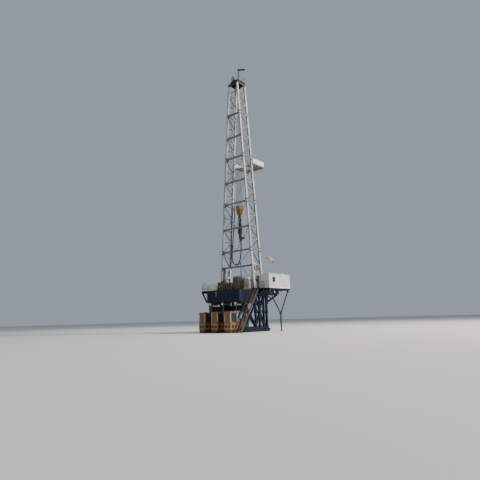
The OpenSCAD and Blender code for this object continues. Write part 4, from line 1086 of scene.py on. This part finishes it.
class RIG_OT_platform(Operator):
    """Adds the platform's stiffeners, flanges and pipes, and the ribs of the drill floor's rim"""

    bl_idname = "rig.platform"
    bl_label = "Platform stiffeners"

    def execute(self, context):
        low, high = reach("rear_platform")
        ribs = Piece("platform_ribs")
        web = DECK - 200
        for x in range(int(low.x) + 24, 305, 82):
            ribs.block((x, high.y - 1, web + 6), (x + 5, high.y + 5, DECK - 10))
        for z in (web, DECK - 8):
            ribs.block((low.x, high.y - 1, z), (310, high.y + 8, z + 7))
        for y in range(180, 560, 62):
            ribs.block((low.x - 4, y, web + 4), (low.x + 1, y + 5, DECK - 10))
        for z in (web + 1, DECK - 8):
            ribs.block((low.x - 6, 168, z), (low.x + 1, high.y + 4, z + 6))
        rim_low, rim_high = reach("drill_floor")
        for y in range(int(rim_low.y) + 20, -10, 74):
            ribs.block((rim_high.x - 1, y, rim_low.z + 4), (rim_high.x + 4, y + 5, FLOOR - 6))
        for x in range(int(rim_low.x) + 20, int(rim_high.x), 78):
            ribs.block((x, rim_low.y - 4, rim_low.z + 4), (x + 5, rim_low.y + 1, FLOOR - 6))
        for z in (rim_low.z, FLOOR - 7):
            ribs.block((rim_low.x, rim_low.y - 5, z), (rim_high.x, rim_low.y + 1, z + 6))
            ribs.block((rim_high.x - 1, rim_low.y, z), (rim_high.x + 5, 150, z + 6))
        ribs.finish("navy", "navy_paint", 0.8)
        flanges = Piece("bracket_flanges")
        y = high.y - 4
        flanges.bar((312, y, DECK - 20), (high.x - 8, y, DECK - 20), 30, 8)
        flanges.bar((high.x - 20, y, DECK - 16), (344, y, web + 14), 28, 8)
        flanges.bar((312, y, web + 10), (350, y, web + 10), 20, 8)
        flanges.finish("navy", "navy_paint", 1)
        pipes = Piece("platform_pipes")
        for x, width in ((352, 9), (366, 6)):
            pipes.rod((x, high.y - 30, web + 10), (x, high.y - 30, DECK - 8), width, 10)
        pipes.disc("x", (-380, high.y + 6, web + 60), 630, 7, 8)
        pipes.finish("navy", "navy_paint")
        risers = Piece("platform_risers")
        risers.rod((100, high.y + 4, web + 92), (100, high.y + 4, DECK - 12), 9, 10)
        risers.finish("post", "cream_paint")
        return {"FINISHED"}


class RIG_OT_base(Operator):
    """Adds the gussets and pins of the substructure, and the lugs and ribs of its skids"""

    bl_idname = "rig.base"
    bl_label = "Substructure details"

    def execute(self, context):
        low, high = reach("side_frames")
        # Each gusset's place along the frame, its height and its width
        spots = [(y, z, wide) for y in (-200, -115, 0, 115) for z, wide in ((87, 60), (340, 52), (612, 60))]
        spots += [(400, 110, 60), (400, 480, 60), (115, 500, 60)]
        plates = Piece("base_gussets")
        for faces in ((low.x - 3, high.x - 1), (low.x + 31, high.x - 35)):
            for (y, z, wide), x in product(spots, faces):
                plates.block((x, y - wide / 2, z - wide / 2), (x + 4, y + wide / 2, z + wide / 2))
        for rear, y in product((-1, -3), (-216, 99)):
            plates.block((-60, y + rear, 570), (60, y + rear + 4, 628))
        plates.finish("navy", "navy_paint", 1)
        pins = Piece("base_pins")
        for (y, z, wide), x in product(spots, (low.x - 7, high.x - 3)):
            pins.disc("x", (x, y, z), 10, 16, 12)
            for dy, dz in product((-wide / 3, wide / 3), repeat=2):
                pins.disc("x", (x + 2, y + dy, z + dz), 6, 6, 6)
        pins.finish("pin", "steel", 0.8)
        lugs = Piece("skid_lugs")
        front, rear = reach("base_skids")
        for sx in SIDES:
            x = sx * (rear.x - 25)
            for y in (front.y + 16, rear.y - 16):
                lugs.disc("x", (x - 32, y, 34), 64, 26, 14)
            places = range(int(front.y) + 60, int(rear.y) - 40, 70)
            for y, (side, wide) in product(places, ((-25, -4), (22, 4))):
                lugs.block((x + side, y, 8), (x + side + wide, y + 6, 48))
        lugs.finish("navy", "navy_paint", 1)
        return {"FINISHED"}


class RIG_OT_doghouse(Operator):
    """Adds the doghouse's corner posts, sill, window frame, door fittings, roof ribs and lamps"""

    bl_idname = "rig.doghouse"
    bl_label = "Doghouse details"

    def execute(self, context):
        low, high = reach("doghouse_walls")
        trim = Piece("house_trim")
        for x, y in product((low.x - 2, high.x - 9), (low.y - 2, high.y - 9)):
            trim.block((x, y, low.z), (x + 11, y + 11, high.z))
        for z, tall in ((low.z, 11), (high.z - 9, 9)):
            for x in (low.x - 2.5, high.x - 1):
                trim.block((x, low.y - 2, z), (x + 3.5, high.y + 2, z + tall))
            for y in (low.y - 2.5, high.y - 1):
                trim.block((low.x - 2, y, z), (high.x + 2, y + 3.5, z + tall))
        trim.finish("house", "doghouse_paint", 0.8)
        sill = Piece("house_sill")
        sill.block((low.x - 4, low.y - 3, low.z), (low.x + 1, high.y + 3, low.z + 21))
        sill.finish("white", "doghouse_paint", 1)
        pane_low, pane_high = reach("doghouse_glass")
        window = Piece("window_frame")
        for y in (pane_low.y - 4, pane_high.y):
            window.block((low.x - 2.5, y, pane_low.z - 4), (low.x + 5, y + 4, pane_high.z + 4))
        for z in (pane_low.z - 4, pane_high.z):
            window.block((low.x - 2.5, pane_low.y - 4, z), (low.x + 5, pane_high.y + 4, z + 4))
        middle = (pane_low.y + pane_high.y) / 2
        window.block((low.x - 1, middle - 1.5, pane_low.z), (low.x + 4, middle + 1.5, pane_high.z))
        window.block((low.x - 6, pane_low.y - 6, pane_high.z + 4),
                     (low.x + 1, pane_high.y + 6, pane_high.z + 7))
        window.finish("grey", "grey_paint", 0.6)
        door_low, door_high = reach("doghouse_door")
        fittings = Piece("door_fittings")
        x, handle = high.x, door_high.y - 14
        for z in (door_low.z + 26, door_high.z - 40):
            fittings.block((x - 3, door_low.y - 3, z), (x, door_low.y + 34, z + 8))
            fittings.disc("z", (x - 1, door_low.y - 2, z - 4), 16, 5, 10)
        fittings.disc("z", (x + 3, handle, door_low.z + 82), 30, 4, 10)
        for z in (83, 111):
            fittings.disc("x", (x - 3, handle, door_low.z + z), 6, 4, 8)
        fittings.finish("steel", "steel", 0.5)
        roof_low, roof_high = reach("doghouse_roof")
        top = roof_high.z
        roof = Piece("roof_fittings")
        for y in range(int(roof_low.y) + 30, int(roof_high.y), 60):
            roof.block((roof_low.x + 2, y, top), (roof_high.x - 2, y + 5, top + 3))
        for y, wide in ((-452, 40), (-60, 30)):
            roof.block((roof_low.x + 26, y - wide / 2, top), (roof_low.x + 56, y + wide / 2, top + 14))
        roof.finish("house", "doghouse_paint", 1.5)
        floor_low, floor_high = reach("doghouse_floor")
        x, z = floor_low.x + 14, floor_low.z
        lamps = Piece("house_lamps")
        lamps.disc("z", (roof_low.x + 40, -452, top + 14), 10, 26, 16, 18)
        lamps.rod((x, -164, z - 52), (x, -150, z - 20), 26, 16, 14)
        lamps.rod((x, -420, z - 30), (x, -414, z - 12), 16, 14, 9)
        lamps.finish("lamp", "glass", 1)
        arms = Piece("house_lamp_arms")
        arms.rod((x, -150, z - 22), (x, -140, z + 2), 5, 8)
        arms.rod((x, -414, z - 13), (x, -410, z + 2), 5, 8)
        for y in range(int(floor_low.y) + 60, int(floor_high.y), 90):
            arms.block((floor_low.x + 6, y, z + 2), (floor_high.x - 6, y + 8, z + 18))
        arms.finish("navy", "navy_paint", 0.6)
        return {"FINISHED"}


class RIG_OT_struts(Operator):
    """Adds the plates and bolts of the doghouse's struts"""

    bl_idname = "rig.struts"
    bl_label = "Strut plates"

    def execute(self, context):
        low, high = reach("doghouse_struts")
        x, post_y = (low.x + high.x) / 2, -316
        plates = Piece("strut_plates")
        for side in (low.x - 2.5, high.x - 0.5):
            plates.block((side, post_y - 26, 284), (side + 3, post_y + 26, 336))
            plates.block((side, -34, high.z - 44), (side + 3, 0, high.z + 16))
            plates.block((side, low.y + 2, high.z - 44), (side + 3, low.y + 40, high.z + 16))
        plates.block((low.x - 14, post_y - 40, 0), (high.x + 8, post_y + 40, 8))
        plates.bar((x, post_y, 60), (x, post_y, 240), 20, 20)
        plates.finish("olive", "olive_paint", 1)
        bolts = Piece("strut_bolts")
        spots = [(post_y + dy, z) for z in (300, 322) for dy in (-16, 16)]
        spots += [(-22, high.z - 30), (-10, high.z - 12), (low.y + 26, high.z - 26),
                  (low.y + 12, high.z - 10)]
        for y, z in spots:
            bolts.rod((low.x - 5, y, z), (high.x + 5, y, z), 7, 8)
        bolts.finish("pin", "steel")
        return {"FINISHED"}


class RIG_OT_radiators(Operator):
    """Adds the radiators' frames, corner posts and cores, and the bands, rings and holes of their bases"""

    bl_idname = "rig.radiators"
    bl_label = "Radiators"

    def execute(self, context):
        low, high = reach("radiators")
        base, top, rear, front = 165, high.z, high.y, low.y
        hole_z, hole_places = 105, (front + 45.9, front + 124.1)
        centres = [low.x + 70, (low.x + high.x) / 2, high.x - 70]
        posts = Piece("radiator_posts")
        for x, (left, right), y in product(centres, ((-73, -62), (62, 73)), (rear - 14, front)):
            posts.block((x + left, y, base), (x + right, y + 16, top - 12))
        posts.finish("post", "cream_paint", 1.5)
        frames = Piece("radiator_frames")
        for x in centres:
            for side in (x - 74, x + 70):
                frames.block((side, front - 2, top - 22), (side + 4, rear + 2, top + 1))
                frames.block((side, front - 2, base - 4), (side + 4, rear + 2, base + 14))
            frames.block((x - 74, rear - 1, top - 22), (x + 74, rear + 4, top + 1))
            frames.block((x - 74, rear - 1, base - 4), (x + 74, rear + 4, base + 14))
            for z in range(base + 26, base + 147, 15):
                frames.bar((x - 56, rear + 1, z), (x + 56, rear + 1, z), 4, 5)
            frames.block((x - 74, front - 2, top), (x + 74, rear + 3, top + 4))
            frames.disc("z", (x, (front + rear) / 2, top + 3), 9, 40, 16)
        frames.finish("orange", "orange_paint", 1)
        bands = Piece("set_bands")
        for x in centres:
            for side in (x - 76, x + 71):
                bands.block((side, front - 1, 50), (side + 5, rear + 1, base - 6))
            bands.block((x - 75, rear - 1, 50), (x + 75, rear + 2, base - 6))
        bands.finish("base", "yellow_paint", 1)
        cores = Piece("radiator_cores")
        for x in centres:
            for side in (x - 72, x + 69):
                cores.block((side, front + 14, base + 14), (side + 3, rear - 14, top - 22))
            cores.block((x - 50, front - 2, base + 10), (x + 50, front + 1, top - 14))
        cores.finish("core", "grey_paint", 0.5)
        rings = Piece("base_rings")
        for x in centres:
            for y, side in product(hole_places, (x - 73, x + 71)):
                rings.disc("x", (side - 3.5, y, hole_z), 9.5, 64, 24)
            for wide in (x - 35, x + 35):
                rings.disc("y", (wide, rear - 1, hole_z), 5, 58, 24)
        rings.finish("base", "yellow_paint", 1)
        # Black discs in the rings, a painted shade for the inside of the bases' holes
        holes = Piece("base_holes")
        for x in centres:
            for wide in (x - 35, x + 35):
                holes.disc("y", (wide, rear - 1, hole_z), 6, 48, 24)
            for y, side in product(hole_places, (x - 73.6, x + 69)):
                holes.disc("x", (side - 4, y, hole_z), 12.6, 51, 24)
        holes.finish("black", "steel")
        return {"FINISHED"}


# Height of the mufflers' middle lines
MUFFLER_Z = 491


class RIG_OT_engines(Operator):
    """Adds the engines' heads, pipes, guards, feet and intakes, and details of the mufflers and skids"""

    bl_idname = "rig.engines"
    bl_label = "Engine details"

    def execute(self, context):
        low, high = reach("engines")
        centres = [low.x + 50, (low.x + high.x) / 2, high.x - 50]
        pipe_z = high.z + 8
        heads = Piece("engine_heads")
        for x, sx, index in product(centres, SIDES, range(6)):
            y = low.y + 51 + index * 40
            heads.bar((x + sx * 24, y, high.z - 8), (x + sx * 42, y, high.z - 22), 14, 32)
            heads.disc("x", (x + sx * 50, y, high.z - 50), sx * 8, 14, 10)
        heads.finish("navy", "navy_paint", 1.5)
        pipes = Piece("engine_pipes")
        for x in centres:
            for sx in SIDES:
                pipes.rod((x + sx * 20, low.y + 30, pipe_z), (x + sx * 20, high.y - 30, pipe_z), 14, 12)
                for index in range(6):
                    y = low.y + 50 + index * 40
                    pipes.rod((x + sx * 20, y, pipe_z), (x + sx * 34, y, high.z - 6), 8, 8)
            pipes.disc("x", (x - 20, high.y - 50, pipe_z), 40, 16, 12)
            pipes.ball((x, high.y - 50, pipe_z), 30)
        pipes.finish("silver", "silver_metal", 0.5)
        guards = Piece("engine_guards")
        for x in centres:
            guards.disc("y", (x, low.y - 8, 130), 10, 92, 24)
            guards.disc("y", (x, low.y - 14, 130), 8, 40, 18)
            guards.disc("y", (x, high.y - 2, 150), 10, 104, 28)
            for y, foot in product((low.y + 30, high.y - 40), (x - 40, x + 40)):
                guards.block((foot - 12, y, 45), (foot + 12, y + 22, 74))
            for index in range(5):
                guards.disc("x", (x - 58, low.y + 60 + index * 44, 84), 14, 22, 14)
        guards.finish("orange", "orange_paint", 1.5)
        intakes = Piece("intake_housings")
        for x in [x + side for x in centres for side in (-31, 31)]:
            intakes.block((x - 12, low.y + 22, 360), (x + 12, high.y - 40, 455))
            intakes.rod((x, low.y + 18, 406), (x, high.y - 34, 406), 34, 16)
            for y in (low.y + 50, (low.y + high.y) / 2, high.y - 70):
                intakes.bar((x, y, high.z - 20), (x, y, 362), 8, 8)
        intakes.finish("navy", "navy_paint", 1.5)
        front, rear = (corner.y for corner in reach("mufflers"))
        # The mufflers' end caps are near-white as a painted highlight
        ends = Piece("muffler_ends")
        for x in centres:
            ends.ball((x, rear - 8, MUFFLER_Z), 47)
            ends.disc("y", (x, rear - 12, MUFFLER_Z), 8, 50, 28)
        ends.finish("bright", "silver_metal", 1)
        straps = Piece("muffler_straps")
        for x in centres:
            for y in (front + 8, front + 60, front + 120, rear - 24):
                straps.disc("y", (x, y, MUFFLER_Z), 7, 49, 28)
            straps.disc("z", (x, rear - 30, 236), 10, 34, 20)
            straps.disc("z", (x, rear - 30, 452), 8, 32, 20)
        straps.finish("grey", "grey_paint", 0.6)
        front, rear = (corner.y for corner in reach("engine_skids"))
        ribs = Piece("skid_ribs")
        for x in centres:
            for edge in (x - 62, x + 62):
                for y in range(int(front) + 14, int(rear) - 8, 46):
                    ribs.block((edge - 2, y, 7), (edge + 2, y + 4, 38))
                for z in (1, 38):
                    ribs.block((edge - 3, front + 1, z), (edge + 3, rear - 1, z + 6))
            for z in (1, 38):
                ribs.block((x - 62, rear - 2, z), (x + 62, rear + 3, z + 6))
            ribs.disc("x", (x - 64, rear - 18, 24), 128, 20, 14)
        ribs.finish("skid", "maroon_paint", 0.8)
        return {"FINISHED"}


# The drum's axle and length, and the hoist's two motors, in millimetres from the well
DRUM_Y, DRUM_Z, DRUM_LENGTH = 300, FLOOR + 78, 200
MOTORS_Y, MOTOR_Z = (230, 370), 788


def ring_of_bolts(piece, axis, middle, length, radius, count):
    """Bolt heads in a ring round a middle point, along x or y."""
    for index in range(count):
        angle = index * 2 * math.pi / count
        out, up = radius * math.cos(angle), radius * math.sin(angle)
        start = (middle[0], middle[1] + out, middle[2] + up) if axis == "x" else (
            middle[0] + out, middle[1], middle[2] + up)
        piece.disc(axis, start, length, 5, 6)


class RIG_OT_hoist(Operator):
    """Winds the rope on the drum, and adds the hoist's covers, bolts, brakes and motor fittings"""

    bl_idname = "rig.hoist"
    bl_label = "Hoist details"

    def execute(self, context):
        turns = Piece("rope_turns")
        wide = context.scene.rig_sizes.rope_d / MM
        count = int(DRUM_LENGTH / (wide + 0.2))
        half = wide / 2 + 0.4
        for index in range(count):
            x = -DRUM_LENGTH / 2 + (index + 0.5) * DRUM_LENGTH / count
            turns.disc("x", (x - half, DRUM_Y, DRUM_Z), half, 67, 28, 71)
            turns.disc("x", (x, DRUM_Y, DRUM_Z), half, 71, 28, 67)
        turns.finish("rope", "wire_rope")
        low, high = reach("drawworks_cover")
        foot, brow = low.z + 8, high.z - 30
        panels = Piece("hood_panels")
        for x, y in product(range(int(low.x) + 8, int(high.x) - 20, 53), (high.y - 1, low.y - 3)):
            panels.block((x, y, foot), (x + 46, y + 4, brow))
        for x in range(int(low.x) + 30, int(high.x), 60):
            panels.block((x, low.y + 30, high.z - 1), (x + 5, high.y - 30, high.z + 4))
        panels.block((low.x - 3, low.y + 14, foot), (low.x + 1, high.y - 14, brow))
        panels.finish("grey", "grey_paint", 1.5)
        low, high = reach("drawworks_gearcase")
        cover_z, end_y, end_z = low.z + 62, 330, low.z + 74
        cover_places = (low.x + 44, low.x + 134, low.x + 206)
        covers = Piece("case_covers")
        for x in cover_places:
            covers.disc("y", (x, high.y - 42, cover_z), 8, 64, 24)
        covers.disc("x", (low.x - 1, end_y, end_z), -7, 96, 28)
        covers.disc("x", (low.x - 7, end_y, end_z), -7, 46, 20)
        for z in (low.z + 8, low.z + 110):
            covers.block((low.x + 90, 361, z), (high.x - 4, 369, z + 6))
        covers.finish("hoist", "yellow_paint", 1.5)
        bolts = Piece("case_bolts")
        for x in cover_places:
            ring_of_bolts(bolts, "y", (x, high.y - 36, cover_z), 5, 27, 8)
        ring_of_bolts(bolts, "x", (low.x - 7, end_y, end_z), -5, 40, 10)
        bolts.finish("pin", "steel")
        brakes = Piece("brake_discs")
        for x in (-152, 150):
            brakes.disc("x", (x, DRUM_Y, DRUM_Z), 3, 60, 24)
            brakes.disc("x", (x - 4, DRUM_Y, DRUM_Z), 11, 34, 18)
        brakes.finish("steel", "steel", 0.8)
        motors = Piece("motor_fittings")
        for y in MOTORS_Y:
            for x in range(174, 239, 16):
                motors.disc("x", (x, y, MOTOR_Z), 5, 80, 28)
            motors.disc("x", (262, y, MOTOR_Z), 6, 52, 20)
            motors.block((189, y - 25, MOTOR_Z + 92), (237, y + 25, MOTOR_Z + 100))
            for side in range(y - 18, y + 13, 10):
                motors.block((186, side, MOTOR_Z + 50), (189, side + 6, MOTOR_Z + 88))
        motors.finish("motor", "orange_paint", 1)
        box = Piece("brake_housing_fittings")
        for z in (770, 808, 846):
            box.block((24, 429, z), (108, 433, z + 28))
        box.disc("z", (66, 404, 896), 20, 44, 20, 36)
        box.disc("z", (30, 400, 896), 34, 18, 14)
        box.finish("bronze", "orange_paint", 1)
        return {"FINISHED"}


class RIG_OT_deck_gear(Operator):
    """Adds the air tank and the lamp of the rear platform"""

    bl_idname = "rig.deck_gear"
    bl_label = "Deck gear"

    def execute(self, context):
        tank = Piece("air_tank")
        tank.disc("x", (-392, 250, 916), 48, 42, 24)
        for x in (-392, -344):
            tank.ball((x, 250, 916), 42)
        tank.finish("white", "white_paint")
        legs = Piece("air_tank_legs")
        for x in (-386, -352):
            legs.block((x - 3, 236, 866), (x + 3, 264, 900))
        legs.finish("grey", "grey_paint", 0.6)
        lamps = Piece("deck_lamps")
        low, high = reach("lamp_post")
        x = (low.x + high.x) / 2
        lamps.rod((x, low.y + 1, high.z - 6), (x, low.y - 7, high.z - 9), 12, 12, 18)
        lamps.finish("lamp", "glass")
        return {"FINISHED"}


class RIG_OT_block_fittings(Operator):
    """Adds the block's guards, hood and bolts, the hook's ears, and the swivel's rings and motor"""

    bl_idname = "rig.block_fittings"
    bl_label = "Block and hook"

    def execute(self, context):
        low, high = reach("travelling_block")
        z = high.z - 60
        guards = Piece("block_guards")
        for sx in SIDES:
            guards.disc("x", (sx * high.x, 0, z), sx * 5, 44, 24)
            guards.bar((sx * (high.x + 1), 0, z - 20), (sx * (high.x + 1), 0, z - 132), 3, 26)
        for sy, (out, up, width) in product(SIDES, ((57, 16, 18), (52, -34, 30), (38, -78, 40))):
            guards.bar((low.x + 6, sy * out, z + up), (high.x - 6, sy * out, z + up), width, 5)
        guards.finish("block", "yellow_paint", 1.2, "block")
        hood = Piece("block_hood")
        hood.rod((low.x + 3, 0, z), (high.x - 3, 0, z), 113, 40)
        hood.rod((0, 0, z - 56), (0, 0, low.z - 6), 84, 28, 30)
        hood.finish("block", "yellow_paint", 2, "block")
        bolts = Piece("block_bolts")
        spots = ((0, 46), (-40, 24), (40, 24), (-44, -24), (44, -24), (-28, -74), (28, -74), (0, -124))
        for sx, (y, up) in product(SIDES, spots):
            bolts.disc("x", (sx * (high.x - 1), y, z + up), sx * 5, 8, 8)
        bolts.finish("pin", "steel", body="block")
        low, high = reach("hook")
        ears = Piece("hook_ears")
        for sx in SIDES:
            ears.bar((sx * 30, 0, high.z - 120), (sx * 24, 0, high.z - 10), 10, 22)
            ears.disc("x", (sx * 34, 0, low.z + 62), sx * 18, 26, 16, 20)
            ears.bar((sx * 46, 0, low.z + 56), (sx * 40, 0, low.z + 120), 8, 16)
        for up in (148, 304, 330):
            ears.disc("z", (0, 0, low.z + up), 6, 54, 24)
        ears.finish("bronze", "yellow_paint", 1.2, "block")
        low, high = reach("swivel")
        rings = Piece("swivel_rings")
        for up, wide in ((4, 42), (30, 40), (84, 64), (120, 64)):
            rings.disc("z", (0, 0, low.z + up), 7, wide, 28)
        rings.disc("z", (0, 0, high.z - 84), 80, 60, 28)
        rings.finish("bronze", "grey_paint", 1, "block")
        motor = Piece("swivel_motor")
        motor.disc("x", (-98, 0, low.z + 82), 64, 46, 24)
        motor.finish("black", "grey_paint", 1.5, "block")
        return {"FINISHED"}


STEPS = [RIG_OT_stage, RIG_OT_paint, RIG_OT_hose, RIG_OT_falls, RIG_OT_windsock, RIG_OT_mast_joints,
         RIG_OT_mast_plates, RIG_OT_a_frames, RIG_OT_crown, RIG_OT_board, RIG_OT_rails, RIG_OT_platform,
         RIG_OT_base, RIG_OT_doghouse, RIG_OT_struts, RIG_OT_radiators, RIG_OT_engines, RIG_OT_hoist,
         RIG_OT_deck_gear, RIG_OT_block_fittings]


class RIG_PT_panel(Panel):
    """Lists the steps that dress the rig"""

    bl_idname = "RIG_PT_panel"
    bl_label = "Drilling rig"
    bl_space_type = "VIEW_3D"
    bl_region_type = "UI"
    bl_category = "Rig"

    def draw(self, context):
        for step in STEPS:
            self.layout.operator(step.bl_idname)


CLASSES = [RigSizes, RigColours, *STEPS, RIG_PT_panel]


def register():
    for each in CLASSES:
        bpy.utils.register_class(each)
    bpy.types.Scene.rig_sizes = PointerProperty(type=RigSizes)
    bpy.types.Scene.rig_colours = PointerProperty(type=RigColours)


def unregister():
    del bpy.types.Scene.rig_colours
    del bpy.types.Scene.rig_sizes
    for each in reversed(CLASSES):
        bpy.utils.unregister_class(each)


def main():
    register()
    for step in STEPS:
        group, name = step.bl_idname.split(".")
        getattr(getattr(bpy.ops, group), name)()


if __name__ == "__main__":
    main()
